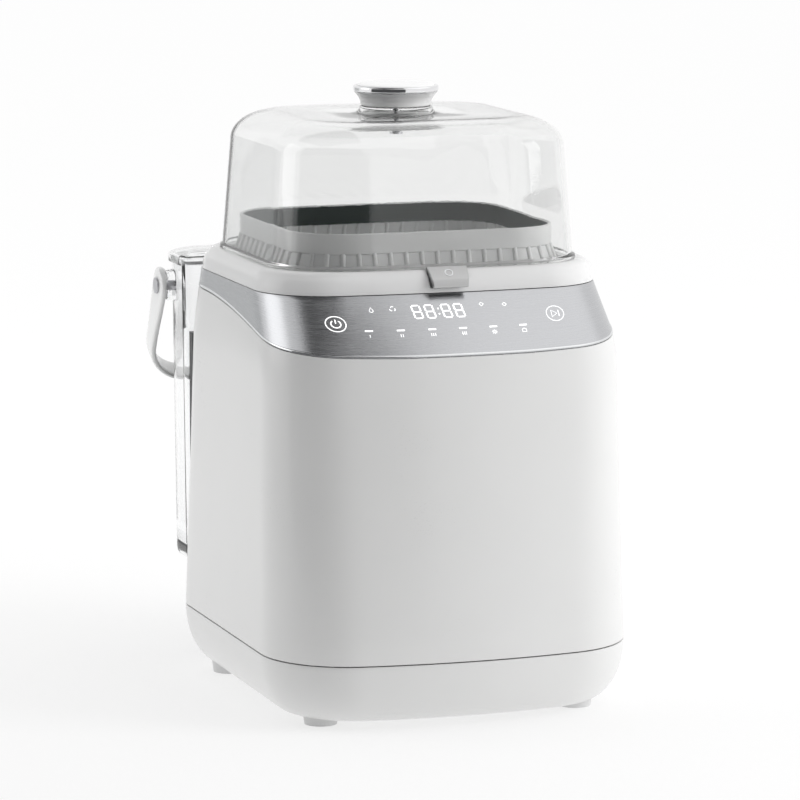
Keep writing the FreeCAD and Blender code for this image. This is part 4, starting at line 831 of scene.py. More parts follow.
@dataclass
class Body:
    """The white shell, the metal band and the bowl-shaped base."""

    parting: Plan = Plan(145.0, -202.0, 118.0, 70.0, 42.0, HOUSE_BOW)
    crease: Plan = Plan(141.0, -184.5, 113.0, 60.0, 54.0, HOUSE_BOW)
    rim: Plan = Plan(136.0, -142.0, 112.0, 58.0, 58.0, RIM_BOW)
    parting_z: float = 52.5
    crease_z: float = 283.5
    rim_z: float = 325.5
    floor_z: float = 5.5
    base_inset: float = 27.0
    base_fans: tuple[float, ...] = (90.0, 60.0, 36.0)
    slot_count: int = 9
    slot_x: float = -60.0
    slot_pitch: float = 14.0
    slot_wide: float = 3.0
    slot_run: tuple[float, float] = (10.0, 54.0)
    wall: float = 3.0
    band_wall: float = 2.5
    bead_sides: int = 9
    seam: float = 0.9
    sweep_front_z: float = 283.2
    sweep_low_z: float = 289.0
    sweep_high_z: float = 311.0
    sweep_start_y: float = -138.0
    sweep_end_y: float = 62.0

    def sweep_z(self, y: float) -> float:
        """Height of the band's lower edge at a distance along the body."""
        if y < self.sweep_start_y:
            share = (y - self.crease.front) / (self.sweep_start_y - self.crease.front)
            return self.sweep_front_z + (self.sweep_low_z - self.sweep_front_z) * max(share, 0.0)
        share = min((y - self.sweep_start_y) / (self.sweep_end_y - self.sweep_start_y), 1.0)
        rise = self.sweep_high_z - self.sweep_low_z
        return self.sweep_low_z + rise * math.sin(share * math.pi / 2)

    def columns(self) -> list[tuple[Vector, Vector, Vector, Vector]]:
        """Points at the parting line, crease, cut and rim, for each place round the body."""
        found = []
        levels = (self.parting.ring(self.parting_z), self.crease.ring(self.crease_z),
                  self.rim.ring(self.rim_z))
        for low, mid, top in zip(*levels):
            near, far = 0.0, 1.0
            for _ in range(24):
                half = (near + far) / 2
                spot = mid.lerp(top, half)
                near, far = (half, far) if spot.z < self.sweep_z(spot.y) else (near, half)
            found.append((low, mid, mid.lerp(top, near), top))
        return found

    def housing(self) -> None:
        """The white shell between the parting line and the band's edge."""
        columns = self.columns()
        rings = []
        steps = 14
        for share in (step / steps for step in range(steps + 1)):
            ring = []
            for low, mid, cut, _ in columns:
                lower, upper = (mid - low).length, (cut - mid).length
                walked = (lower + upper - self.seam) * share + self.seam / 2 * (1.0 - share)
                ring.append(low.lerp(mid, walked / lower) if walked < lower
                            else mid.lerp(cut, (walked - lower) / upper))
            rings.append(ring)
        shell = bevelled(walled(lofted(rings).object("outer_shell", WHITE), self.wall), 0.7)
        deliver(shell, "stand", Slot.WHITE_SHELL, "outer_housing")

    def band(self) -> list[tuple[Vector, Vector]]:
        """The sloped metal band and its polished lower edge.

        Returns:
            The band's own columns, from its lower edge to its rim.
        """
        columns = [(cut, top) for _, _, cut, top in self.columns()]
        steps = [0.0, 0.015, *(0.05 + 0.95 * i / 14 for i in range(15))]
        skin = lofted([[cut.lerp(top, share) for cut, top in columns] for share in steps])
        sheet = bevelled(walled(skin.object("control_band_sheet", BAND), self.band_wall), 0.9)
        deliver(sheet, "stand", Slot.BAND_METAL, "control_band")
        rings = []
        count = len(columns)
        for i in range(self.bead_sides):
            turn = math.pi * 2 * i / self.bead_sides
            ring = []
            for j, (cut, top) in enumerate(columns):
                up = (top - cut).normalized()
                ahead = (columns[(j + 1) % count][0] - columns[j - 1][0]).normalized()
                out = ahead.cross(up).normalized()
                ring.append(cut + up * (1.1 + 0.95 * math.cos(turn))
                            + out * (0.5 * math.sin(turn) + 0.05))
            rings.append(ring)
        bead = lofted(rings[::-1], wrap=True).object("band_edge_bead", BAND_EDGE)
        deliver(bead, "stand", Slot.BRIGHT_METAL)
        return columns

    def base(self) -> None:
        """The bowl-shaped base with its slotted floor."""
        edge_z = self.parting_z - self.seam / 2
        depth = edge_z - self.floor_z
        outline = [(self.base_inset * (1.0 - math.cos(turn)), depth * math.sin(turn))
                   for turn in (math.pi / 2 * i / 18 for i in range(18, -1, -1))]
        rings = [self.parting.inset(draw, 0.5).ring(self.floor_z) for draw in self.base_fans]
        for draw, drop in outline:
            plan = replace(self.parting.inset(draw, 0.7), front_bow=HOUSE_BOW - draw)
            rings.append(plan.ring(edge_z - drop))
        skin = lofted(rings, caps=(True, False))
        bowl = walled(skin.object("base_bowl", WHITE, 50.0), self.wall)
        slots = Skin()
        near, far = self.slot_run
        for i in range(self.slot_count):
            x = self.slot_x + self.slot_pitch * i
            slots.join(slab((x, near, self.floor_z - 4.0),
                            (x + self.slot_wide, far, self.floor_z + 8.0)))
        deliver(bevelled(carved(bowl, slots, WHITE), 0.6, 2), "stand", Slot.WHITE_SHELL, "base_tub")

    def build(self) -> list[tuple[Vector, Vector]]:
        """Make the body's pieces and return the band's columns."""
        self.housing()
        self.base()
        return self.band()


# ------------------------------------------------------------------ marks on the band


@dataclass
class BandMarks:
    """Lit digits, touch rings and pictograms, laid on the sloped band."""

    columns: list[tuple[Vector, Vector]]
    search: float = 40.0
    halvings: int = 22
    lift: float = 0.06
    thick: float = 0.10
    line: float = 0.75
    digit_x: tuple[float, ...] = (-31.8, -21.7, -8.6, 1.5)
    digit_y: float = 36.6
    digit_gap: float = 0.55
    digit_lean: float = -0.10
    digit_line: float = 1.15
    colon_x: float = -12.3
    colon_y: tuple[float, ...] = (39.6, 44.6)
    bar_count: int = 6
    bar_line: float = 1.35
    digit_wide: float = 6.2
    digit_tall: float = 12.2
    bar_wide: float = 6.2
    bar_x: float = -73.4
    bar_y: float = 25.8
    bar_pitch: float = 24.4
    power_x: float = -93.6
    play_x: float = 80.9

    def spot(self, x: float, up: float, lift: float) -> Vector:
        """A place on the band: x, distance up its slope, and height above it."""
        middle = len(self.columns) // 2

        def at(place: float, share: float) -> Vector:
            """A point between two columns, at a share of their height."""
            low = math.floor(place)
            rest = place - low
            edges = [a.lerp(b, rest) for a, b in zip(self.columns[low], self.columns[low + 1])]
            return edges[0].lerp(edges[1], share)

        cut, top = self.columns[middle]
        share = up / (top - cut).length
        near, far = middle - self.search, middle + self.search
        for _ in range(self.halvings):
            half = (near + far) / 2
            near, far = (half, far) if at(half, share).x < x else (near, half)
        here = at(near, share)
        ahead = at(near + 0.5, share) - at(near - 0.5, share)
        rise = at(near, share + 0.02) - at(near, share - 0.02)
        return here + ahead.cross(rise).normalized() * lift

    def ribbon(self, skin: Skin, path: Sequence[Point], width: float, closed: bool = False) -> None:
        """A raised line of even width along a path on the band."""
        count = len(path)
        sides: list[tuple[Point, Point]] = []
        for i, (x, y) in enumerate(path):
            before = path[i - 1] if closed or i else path[i]
            after = path[(i + 1) % count] if closed or i < count - 1 else path[i]
            run = (after[0] - before[0], after[1] - before[1])
            size = math.hypot(*run) or 1.0
            out = (run[1] / size * width / 2, -run[0] / size * width / 2)
            sides.append(((x + out[0], y + out[1]), (x - out[0], y - out[1])))
        rings = []
        for right, left in sides:
            rings.append([self.spot(*right, self.lift), self.spot(*right, self.lift + self.thick),
                          self.spot(*left, self.lift + self.thick), self.spot(*left, self.lift)])
        skin.loft(rings, wrap=closed, caps=(not closed, not closed))

    def disc(self, x: float, y: float, radius: float, start: float = 0.0, sweep: float = 360.0,
             steps: int = 40) -> list[Point]:
        """Points of an arc on the band, with angles in degrees anticlockwise from the right."""
        whole = sweep == 360.0
        return [(x + radius * math.cos(math.radians(start + sweep * i / steps)),
                 y + radius * math.sin(math.radians(start + sweep * i / steps)))
                for i in range(steps if whole else steps + 1)]

    def digit(self, skin: Skin, x: float, y: float) -> None:
        """One figure eight of seven separate strokes, leaning a little to the left at its top."""
        wide, tall, gap = self.digit_wide, self.digit_tall / 2, self.digit_gap

        def stroke(*ends: Point) -> None:
            """One leaning stroke between two places in the figure."""
            path = [(x + across + up * self.digit_lean, y + up) for across, up in ends]
            self.ribbon(skin, path, self.digit_line)

        for level in (0.0, tall, 2 * tall):
            stroke((gap, level), (wide - gap, level))
        for side in (0.0, wide):
            for level in (0.0, tall):
                stroke((side, level + gap), (side, level + tall - gap))

    def display(self) -> None:
        """Four digits, a colon and six indicator bars."""
        skin = Skin()
        for x in self.digit_x:
            self.digit(skin, x, self.digit_y)
        for y in self.colon_y:
            self.ribbon(skin, [(self.colon_x, y), (self.colon_x, y + 1.2)], 1.2)
        deliver(skin.object("display_digits", MARK), "stand", Slot.DISPLAY)
        bars = Skin()
        for i in range(self.bar_count):
            x = self.bar_x + self.bar_pitch * i
            self.ribbon(bars, [(x, self.bar_y), (x + self.bar_wide, self.bar_y)], self.bar_line)
        deliver(bars.object("indicator_bars", MARK), "stand", Slot.DISPLAY)

    def rings(self) -> None:
        """The start ring with its broken circle, and the run ring with its arrow."""
        power = Skin()
        x, y = self.power_x, 32.8
        self.ribbon(power, self.disc(x, y, 7.4), self.line, True)
        self.ribbon(power, self.disc(x, y, 3.6, 125.0, 290.0), 0.9)
        self.ribbon(power, [(x, y + 0.6), (x, y + 4.4)], 0.9)
        deliver(power.object("power_mark", MARK), "stand", Slot.DISPLAY)
        play = Skin()
        x, y = self.play_x, 34.5
        self.ribbon(play, self.disc(x, y, 7.2), 0.6, True)
        self.ribbon(play, [(x - 3.0, y - 3.2), (x + 1.6, y), (x - 3.0, y + 3.2)], 0.7, True)
        self.ribbon(play, [(x + 3.0, y - 3.0), (x + 3.0, y + 3.0)], 0.7)
        # The run ring and arrow are printed; their glow is painted light.
        deliver(play.object("run_mark", GLOWING_PRINT_MARK), "stand", Slot.DISPLAY)

    def pictograms(self) -> None:
        """Small generic signs: a drop, a fan and two lozenges above, and one under each bar."""
        skin = Skin()
        drop = [(-1.5, 0.0), (0.0, 3.2), (1.5, 0.0)]
        x, y = -64.4, 45.2
        round_end = self.disc(x, y, 1.5, 0, -180, 8)[1:-1]
        self.ribbon(skin, [(x + a, y + b) for a, b in drop] + round_end, 0.5, True)
        x, y = -47.8, 46.4
        for turn in (90.0, 210.0, 330.0):
            leaf = self.disc(x + 1.2 * math.cos(math.radians(turn)),
                             y + 1.2 * math.sin(math.radians(turn)), 1.1, turn - 60, 150, 8)
            self.ribbon(skin, leaf, 0.55)
        for x, y in ((22.9, 47.6), (41.4, 46.4)):
            self.ribbon(skin, [(x - 1.7, y), (x, y + 1.7), (x + 1.7, y), (x, y - 1.7)], 0.55, True)
        for i in range(self.bar_count):
            x, y = self.bar_x + self.bar_pitch * i + self.bar_wide / 2, self.bar_y - 5.0
            if i < 3:
                for k in range(i + 1):
                    left = x - 1.6 * i / 2 + 1.6 * k
                    self.ribbon(skin, [(left, y - 1.3), (left, y + 1.3)], 0.55)
            elif i == 3:
                for k in (-1.4, 0.0, 1.4):
                    self.ribbon(skin, [(x + k + 0.35 * math.sin(s * 1.6), y - 1.5 + s * 0.5)
                                       for s in range(7)], 0.45)
            elif i == 4:
                self.ribbon(skin, self.disc(x, y, 1.0, steps=16), 0.45, True)
                for k in range(8):
                    turn = math.radians(45.0 * k)
                    self.ribbon(skin, [(x + r * math.cos(turn), y + r * math.sin(turn))
                                       for r in (1.55, 2.15)], 0.4)
            else:
                self.ribbon(skin, [(x - 1.7, y - 1.5), (x + 1.7, y - 1.5), (x + 1.7, y + 0.6),
                                   (x, y + 1.9), (x - 1.7, y + 0.6)], 0.5, True)
        deliver(skin.object("pictograms", MARK), "stand", Slot.DISPLAY)

    def build(self) -> None:
        """Make all the marks."""
        self.display()
        self.rings()
        self.pictograms()


# ------------------------------------------------------------------ lid frame and latch


@dataclass
class LidFrame:
    """The clear ring that carries the dome, its frosted liner and the latch."""

    rim: Plan
    low: float = 326.0
    top: float = 343.0
    run: float = 10.5
    skin: float = 3.0
    ledge: Plan = Plan(112.3, -119.8, 89.8, 51.3, 51.3)
    ledge_z: float = 337.1
    mouth: Plan = Plan(106.0, -112.0, 82.0, 44.0, 44.0)
    latch_room: tuple[Point, ...] = ((329.3, 14.6), (350.4, 17.8))
    latch_room_y: tuple[float, float] = (-150.0, -133.4)
    tick_x: float = -127.5
    tick_y: float = 34.0
    tick_pitch: float = 19.0
    tick_count: int = 5
    tick_size: Place = (5.2, 0.7, 0.75)
    mark_outer: float = 3.3
    mark_inner: float = 2.7

    def shoulder(self, inset: float, low: float, top: float, steps: int = 14) -> list[list[Vector]]:
        """Rings up the rounded outside, moved in by an inset."""
        rings = []
        for i in range(steps + 1):
            turn = math.pi / 2 * i / steps
            draw = self.run * (1.0 - math.cos(turn) ** 0.85) + inset
            plan = replace(self.rim.inset(draw, 0.6), front_bow=RIM_BOW, rear_bow=RIM_BOW)
            rings.append(plan.ring(low + (top - low) * math.sin(turn)))
        return rings

    def latch_cut(self) -> Skin:
        """The tapered room for the latch."""
        front, back = self.latch_room_y
        return lofted([[Vector((-half, front, z)), Vector((half, front, z)),
                        Vector((half, back, z)), Vector((-half, back, z))]
                       for z, half in self.latch_room], caps=(True, True))

    def ring(self) -> None:
        """The clear outer ring."""
        inside = self.shoulder(self.skin, self.low, self.top - self.skin)
        rings = self.shoulder(0.0, self.low, self.top)
        web = self.mouth.inset(-9.4)
        rings += [self.ledge.ring(self.top), self.ledge.ring(self.ledge_z),
                  self.mouth.ring(self.ledge_z), self.mouth.ring(self.low),
                  web.ring(self.low), web.ring(self.top - self.skin), *inside[::-1]]
        made = lofted(rings, wrap=True).object("lid_frame_ring", LID_RING)
        made = carved(made, self.latch_cut(), LID_RING)
        deliver(bevelled(made, 0.5, 2), "ring", Slot.CLEAR, "lid_frame")

    def liner(self) -> None:
        """The frosted ring inside the clear one."""
        low, top = self.low, self.top - 4.0
        under = top - 2.5
        inner = self.mouth.inset(-10.0)
        rings = [*self.shoulder(3.6, low, top), inner.ring(top), inner.ring(under),
                 *self.shoulder(6.0, low, under)[::-1]]
        made = lofted(rings, wrap=True).object("frosted_liner", FROSTED)
        deliver(carved(made, self.latch_cut(), FROSTED), "ring", Slot.FROSTED, "frame_liner")

    def ticks(self) -> None:
        """Short moulded marks on the ring's flat left shelf."""
        skin = Skin()
        for i in range(self.tick_count):
            low = Vector((self.tick_x, self.tick_y - self.tick_pitch * i, self.top - 1.6))
            skin.join(slab(tuple(low), tuple(low + Vector(self.tick_size))))
        deliver(skin.object("shelf_ticks", DARK), "ring", Slot.DARK)

    def latch(self) -> None:
        """The two-faced latch with rounded edges and a small ring mark on its upper face."""
        side = smooth_through([(-135.2, 345.4), (-139.4, 342.5), (-143.6, 338.9), (-146.4, 336.0)], 3)
        side += [(-147.3, 332.4), (-147.6, 330.0), (-144.8, 330.0), (-143.2, 333.6), (-135.4, 333.6),
                 (-134.6, 341.0)]
        rings = [[Vector((share * (14.0 + 2.3 * (z - 330.0) / 15.4), y, z)) for y, z in side]
                 for share in (-1.0, -0.5, 0.0, 0.5, 1.0)]
        plate = lofted(rings, caps=(True, True)).object("latch_plate", LATCH)
        deliver(bevelled(plate, 0.7), "latch", Slot.LATCH_METAL, "latch_button")
        a, b = Vector((0.0, -139.4, 342.5)), Vector((0.0, -143.6, 338.9))
        up = (a - b).normalized()
        out = up.cross(Vector((1, 0, 0))).normalized() * -1.0
        middle = (a + b) / 2
        section = ((self.mark_outer, 0.05), (self.mark_outer, 0.3),
                   (self.mark_inner, 0.3), (self.mark_inner, 0.05))
        rings = []
        for i in range(CORNER_STEPS):
            turn = math.pi * 2 * i / CORNER_STEPS
            spoke = Vector((math.cos(turn), 0, 0)) + up * math.sin(turn)
            rings.append([middle + spoke * radius + out * rise for radius, rise in section])
        mark = lofted(rings, wrap=True).object("latch_mark", BAND_EDGE)
        deliver(mark, "latch", Slot.BRIGHT_METAL)

    def build(self) -> None:
        """Make the lid frame's pieces."""
        self.ring()
        self.liner()
        self.ticks()
        self.latch()


# ------------------------------------------------------------------ dome and knob


@dataclass
class Dome:
    """The clear dome with its bead, its flat crown and the knob on its boss."""

    half: float = 122.0
    depth: float = 117.0
    corner: float = 56.0
    least_corner: float = 12.0
    foot_z: float = 343.2
    shoulder_z: float = 428.5
    edge_z: float = 452.2
    crown_z: float = 451.0
    draw: float = 6.3
    run: float = 34.0
    wall: float = 3.0
    boss_tall: float = 6.0
    ring_r: float = 33.4
    neck_r: float = 27.5

    def plan(self, draw: float) -> Plan:
        """The dome's outline, moved in by a distance."""
        corner = max(self.corner - draw * 0.5, self.least_corner)
        return Plan(self.half - draw, AXIS_Y - self.depth + draw, AXIS_Y + self.depth - draw,
                    corner, corner, RIM_BOW, RIM_BOW)

    def profile(self, inset: float) -> list[tuple[float, float]]:
        """Draw-in and height up the wall, round the shoulder and over the crown."""
        rise = self.edge_z - self.shoulder_z
        shape = [(self.draw * i / 10, self.foot_z + (self.shoulder_z - self.foot_z) * i / 10)
                 for i in range(11)]
        for i in range(1, 19):
            turn = math.pi / 2 * i / 18
            shape.append((self.draw + self.run * (1.0 - math.cos(turn)),
                          self.shoulder_z + rise * math.sin(turn)))
        for i in range(1, 5):
            shape.append((self.draw + self.run * (1 + i / 5), self.edge_z - 0.9 * (i / 5) ** 2))
        if not inset:
            return shape
        moved = []
        for i, (draw, z) in enumerate(shape):
            a, b = shape[max(i - 1, 0)], shape[min(i + 1, len(shape) - 1)]
            size = math.dist(a, b)
            moved.append((draw + inset * (b[1] - a[1]) / size, z - inset * (b[0] - a[0]) / size))
        return moved

    def cover(self) -> None:
        """The dome's closed shell with its foot bead and its flared boss."""
        outside = [(-1.6, self.foot_z), (-1.6, self.foot_z + 1.6), (-1.3, self.foot_z + 2.4),
                   (-0.6, self.foot_z + 2.8), (0.25, self.foot_z + 3.4)]
        outside += [pair for pair in self.profile(0.0) if pair[1] > self.foot_z + 4.0]
        rings = [self.plan(draw).ring(z) for draw, z in outside]
        boss = ((36.0, 0.05), (33.0, 0.3), (30.6, 1.4), (28.8, 3.4), (28.0, self.boss_tall),
                (3.0, self.boss_tall), (3.0, 3.0), (24.6, 3.0), (26.0, 0.0), (28.6, -self.wall))
        rings += [circle(radius, self.crown_z + rise, AXIS_Y) for radius, rise in boss]
        inside = self.profile(self.wall)
        inside[0] = (inside[0][0], self.foot_z)
        rings += [self.plan(draw).ring(z) for draw, z in reversed(inside)]
        shell = lofted(rings, wrap=True).object("dome_shell", DOME_CLEAR, 50.0)
        deliver(shell, "dome", Slot.CLEAR, "dome_cover")

    def turned(self, name: str, profile: Sequence[Point], finish: Finish, slot: Slot,
               node: str) -> None:
        """One turned piece of the knob, closed on itself, from (radius, height over the boss)."""
        skin = lofted(turned_rings(profile, AXIS_Y, self.crown_z + self.boss_tall), wrap=True)
        deliver(bevelled(skin.object(name, finish, 40.0), 0.25, 2), "dome", slot, node)

    def knob(self) -> None:
        """The white waisted body, the bright ring and the nearly flat cap."""
        neck, ring = self.neck_r, self.ring_r
        flank = smooth_through([(neck - 0.9, 0.1), (neck, 1.0), (neck + 0.5, 4.0), (neck + 2.2, 7.5),
                                (ring - 0.6, 11.1)], 5)
        self.turned("knob_cup", [*flank, (ring - 3.0, 11.1), (ring - 3.0, 15.1), (ring - 6.0, 15.1),
                                 (ring - 6.0, 9.5), (2.5, 5.5), (2.5, 0.1)],
                    KNOB_WHITE, Slot.WHITE_SHELL, "knob_body")
        edge = smooth_through([(ring - 0.9, 11.2), (ring - 0.1, 12.2), (ring, 13.6),
                               (ring - 0.1, 15.0), (ring - 0.9, 16.0)], 4)
        self.turned("knob_bright_ring", [*edge, (ring - 2.9, 16.0), (ring - 2.9, 11.2)],
                    CHROME, Slot.BRIGHT_METAL, "knob_ring")
        top = smooth_through([(ring - 3.2, 16.4), (26.0, 17.5), (14.0, 18.0), (0.05, 18.2)], 5)
        self.turned("knob_cap_disc", [(0.05, 15.3), (ring - 3.0, 15.3), *top],
                    KNOB_WHITE, Slot.WHITE_SHELL, "knob_cap")

    def build(self) -> None:
        """Make the dome and the knob."""
        self.cover()
        self.knob()


# ------------------------------------------------------------------ tray


@dataclass
class Tray:
    """The tray for small items: smooth rim, leaning ribs and a barred floor."""

    rim: Plan = Plan(107.0, -114.5, 84.5, 46.0, 46.0)
    top: float = 369.5
    band: float = 16.0
    foot: float = 337.5
    flare: float = 4.5
    wall: float = 2.5
    set_back: float = 1.4
    pitch: float = 12.7
    rib: float = 4.0
    bar_count: int = 17
    bar_x: float = -100.0
    bar_pitch: float = 12.5
    bar_reach: float = 2.5
    sill_half: float = 104.0
    sill_y: tuple[float, ...] = (-70.0, -15.0, 40.0)
    sill_size: Point = (3.0, 2.2)

    def hoop(self, name: str, plan: Plan, wall: float, low: float, high: float, finish: Finish,
             slot: Slot, round_by: float, *nodes: str) -> None:
        """A level band of the tray, as a closed ring with rounded edges."""
        inner, middle = plan.inset(wall), (low + high) / 2
        skin = lofted([plan.ring(low), plan.ring(middle), plan.ring(high),
                       inner.ring(high), inner.ring(middle), inner.ring(low)], wrap=True)
        deliver(bevelled(skin.object(name, finish), round_by), "basket", slot, *nodes)

    def skirt(self) -> None:
        """The thin flaring wall behind the ribs."""
        low, high = self.foot + 3.6, self.top - self.band + 0.4
        outer, inner = self.flare - self.set_back, self.flare - self.wall
        skin = lofted([self.rim.inset(-outer).ring(low), self.rim.inset(self.set_back).ring(high),
                       self.rim.inset(self.wall).ring(high), self.rim.inset(-inner).ring(low)],
                      wrap=True)
        deliver(skin.object("tray_skirt", BASKET_WHITE), "basket", Slot.BASKET)

    def ribs(self) -> None:
        """The ribs between the rim and the foot ring."""
        low, high = self.foot + 3.0, self.top - self.band + 1.0
        line = self.rim.inset(-self.flare / 2 + self.wall / 2).ring((low + high) / 2)
        edges = [(i, (i + 1) % len(line)) for i in range(len(line))]
        mesh = bpy.data.meshes.new("tray_ribs")
        mesh.from_pydata([point * MM for point in line], edges, [])
        made = bpy.data.objects.new("tray_ribs", mesh)
        bpy.context.scene.collection.objects.link(made)
        pattern = RibRing("tray_rib_ring", self.pitch, high - low, self.rib,
                          -math.degrees(math.atan2(self.flare, high - low)), BASKET_WHITE)
        deliver(pattern.run(made, None), "basket", Slot.BASKET)

    def floor(self) -> None:
        """Bars along the floor, with three cross bars under them."""
        ring = self.rim.inset(0.5).ring(0.0, 400)
        places = []
        for i in range(self.bar_count):
            x = self.bar_x + self.bar_pitch * i
            span = [point.y for point in ring if abs(point.x - x) < self.bar_reach]
            if span:
                low, high = min(span), max(span)
                places.append((Vector((x, (low + high) / 2, self.foot + 1.3)), high - low))
        bars = Bars("tray_floor_bars", 2.3, 0.52, BASKET_WHITE)
        deliver(bars.lay("tray_floor", places, BASKET_WHITE), "basket", Slot.BASKET)
        sills = Skin()
        wide, tall = self.sill_size
        for y in self.sill_y:
            sills.join(slab((-self.sill_half, y - wide / 2, self.foot),
                            (self.sill_half, y + wide / 2, self.foot + tall)))
        cross_bars = sills.object("tray_cross_bars", BASKET_WHITE)
        deliver(bevelled(cross_bars, 0.5, 2), "basket", Slot.BASKET)

    def build(self) -> None:
        """Make the tray's pieces."""
        low = self.top - self.band
        self.hoop("tray_rim", self.rim, self.wall, low, self.top, BASKET_WHITE,
                  Slot.BASKET, 1.1, "item_basket")
        self.hoop("tray_foot_ring", self.rim.inset(-self.flare), 6.5, self.foot, self.foot + 4.0,
                  BASKET_WHITE, Slot.BASKET, 0.8)
        self.hoop("tray_dark_band", self.rim.inset(self.wall + 0.02), 0.8, low + 0.4,
                  self.top - 1.0, LINER_DARK, Slot.LINER, 0.2, "basket_liner")
        self.skirt()
        self.ribs()
        self.floor()


# ------------------------------------------------------------------ tank


@dataclass
class Tank:
    """The clear tank at the back, its lid and its bail."""

    foot: Plan = Plan(131.5, 119.0, 180.0, 5.0, 30.0)
    rim: Plan = Plan(134.0, 119.0, 180.0, 5.0, 30.0)
    foot_z: float = 79.0
    rim_z: float = 322.0
    collar_z: float = 269.4
    wall: float = 2.5
    pivot: tuple[float, float] = (150.0, 301.5)
    bail_half: float = 145.5
    bail_thick: float = 5.0
    bail_drop: float = 88.0
    bail_corner: float = 31.5
    bail_lean: float = 28.5
    tab_r: float = 15.0
    strap_half: float = 10.0

    def plan(self, z: float, grow: float = 0.0) -> Plan:
        """The tank's outline at a height, grown by a distance."""
        share = (z - self.foot_z) / (self.rim_z - self.foot_z)
        half = self.foot.half + (self.rim.half - self.foot.half) * share
        return replace(self.foot, half=half).inset(-grow)

    def vessel(self) -> None:
        """The tank's closed shell: rounded foot with a moulding, a thicker collar at the top."""
        outside = [(self.foot_z, -6.0), (self.foot_z + 0.5, -3.6), (self.foot_z + 1.8, -1.6),
                   (self.foot_z + 4.0, -0.4), (self.foot_z + 7.0, 0.0), (self.foot_z + 12.0, 0.0),
                   (self.foot_z + 12.8, -0.5), (self.foot_z + 13.8, -0.5), (self.foot_z + 14.6, 0.0)]
        outside += [(self.foot_z + 30.0 + 26.0 * i, 0.0) for i in range(7)]
        outside += [(self.rim_z, 0.0)]
        inside = [(self.rim_z, -self.wall), (self.collar_z + 1.2, -self.wall - 0.4),
                  (self.collar_z - 0.6, -self.wall + 0.8), (self.collar_z - 40.0, -self.wall + 0.8),
                  (self.foot_z + 14.0, -self.wall + 0.4), (self.foot_z + 8.0, -self.wall),
                  (self.foot_z + 4.0, -self.wall - 2.0), (self.foot_z + 2.6, -self.wall - 5.0)]
        rings = [self.plan(self.foot_z, -24.0).ring(self.foot_z)]
        rings += [self.plan(z, grow).ring(z) for z, grow in outside + inside]
        rings.append(self.plan(self.foot_z, -24.0).ring(self.foot_z + 2.6))
        vessel = lofted(rings, caps=(True, True)).object("tank_vessel", TANK_CLEAR, 50.0)
        deliver(vessel, "tank", Slot.CLEAR, "tank_body")

    def bosses(self) -> None:
        """The rounded boss on each end that carries the bail's pin."""
        skin = Skin()
        y, z = self.pivot
        for side in (-1, 1):
            rings = []
            for out, grow in ((0.6, 0.6), (1.4, 0.0), (6.4, 0.0), (7.5, -0.5), (8.0, -1.6)):
                ring = []
                for i in range(CORNER_STEPS):
                    turn = 2 * math.pi * i / CORNER_STEPS
                    ring.append(Vector((side * (self.rim.half + out),
                                        y + side * squared(math.cos(turn), 0.5) * (9.5 + grow),
                                        z + squared(math.sin(turn), 0.5) * (12.0 + grow))))
                rings.append(ring)
            skin.loft(rings, caps=(True, True))
        deliver(skin.object("tank_bosses", TANK_CLEAR), "tank", Slot.CLEAR)

    def lid(self) -> None:
        """The clear lid with its skirt and gently raised top."""
        low = self.rim_z - 1.5
        outside = [(3.0, 0.0), (3.0, 5.2), (2.7, 6.2), (1.8, 7.2), (0.2, 7.9), (-3.0, 8.6), (-8.0, 9.5),
                   (-12.0, 10.0), (-22.0, 10.0)]
        rings = [self.plan(self.rim_z, grow).ring(low + rise) for grow, rise in outside]
        cover = lofted(rings, caps=(False, True)).object("tank_lid_cover", TANK_CLEAR, 50.0)
        deliver(bevelled(walled(cover, 2.2), 0.3, 2), "tank_cover", Slot.CLEAR, "tank_lid")

    def bail(self) -> None:
        """The strap handle: round tabs, narrowing arms and a cross bar."""
        half, drop, corner = self.bail_half, self.bail_drop, self.bail_corner
        path: list[tuple[float, float, float]] = []
        levels = [self.tab_r * math.cos(math.pi / 2 * i / 10) for i in range(11)]
        levels += [-(drop - corner) * i / 12 for i in range(1, 12)]
        path += [(-half, level, 0.0) for level in levels]
        for i in range(17):
            turn = math.pi / 2 * i / 16
            path.append((-half + corner * (1 - math.cos(turn)),
                         -drop + corner - corner * math.sin(turn), turn))
        bar = half - corner
        path += [(-bar + 2 * bar * i / 12, -drop, math.pi / 2) for i in range(1, 12)]
        path += [(-x, level, math.pi - turn) for x, level, turn in reversed(path[:-11])]
        rings = []
        for x, level, turn in path:
            if level > 0:
                broad = math.sqrt(max(self.tab_r ** 2 - level ** 2, 0.8))
            else:
                share = min(-level / (drop * 0.6), 1.0)
                broad = self.tab_r + (self.strap_half - self.tab_r) * (3 - 2 * share) * share * share
            normal = Vector((math.cos(turn), 0.0, math.sin(turn)))
            ring = []
            for k in range(EDGE_STEPS):
                around = 2 * math.pi * k / EDGE_STEPS
                across = squared(math.cos(around), 0.45) * broad
                through = squared(math.sin(around), 0.6) * self.bail_thick / 2
                ring.append(Vector((x, across, level)) + normal * through)
            rings.append(ring)
        skin = lofted(rings[::-1], caps=(True, True))
        turn_by = Matrix.Rotation(math.radians(self.bail_lean), 4, "X")
        skin.points = [turn_by @ point + Vector((0.0, *self.pivot)) for point in skin.points]
        deliver(skin.object("bail_strap", HANDLE_GREY, 50.0), "bail", Slot.CLEAR, "tank_handle")

    def build(self) -> None:
        """Make the tank's pieces."""
        self.vessel()
        self.bosses()
        self.lid()
        self.bail()


# ------------------------------------------------------------------ fasteners and solids that stay


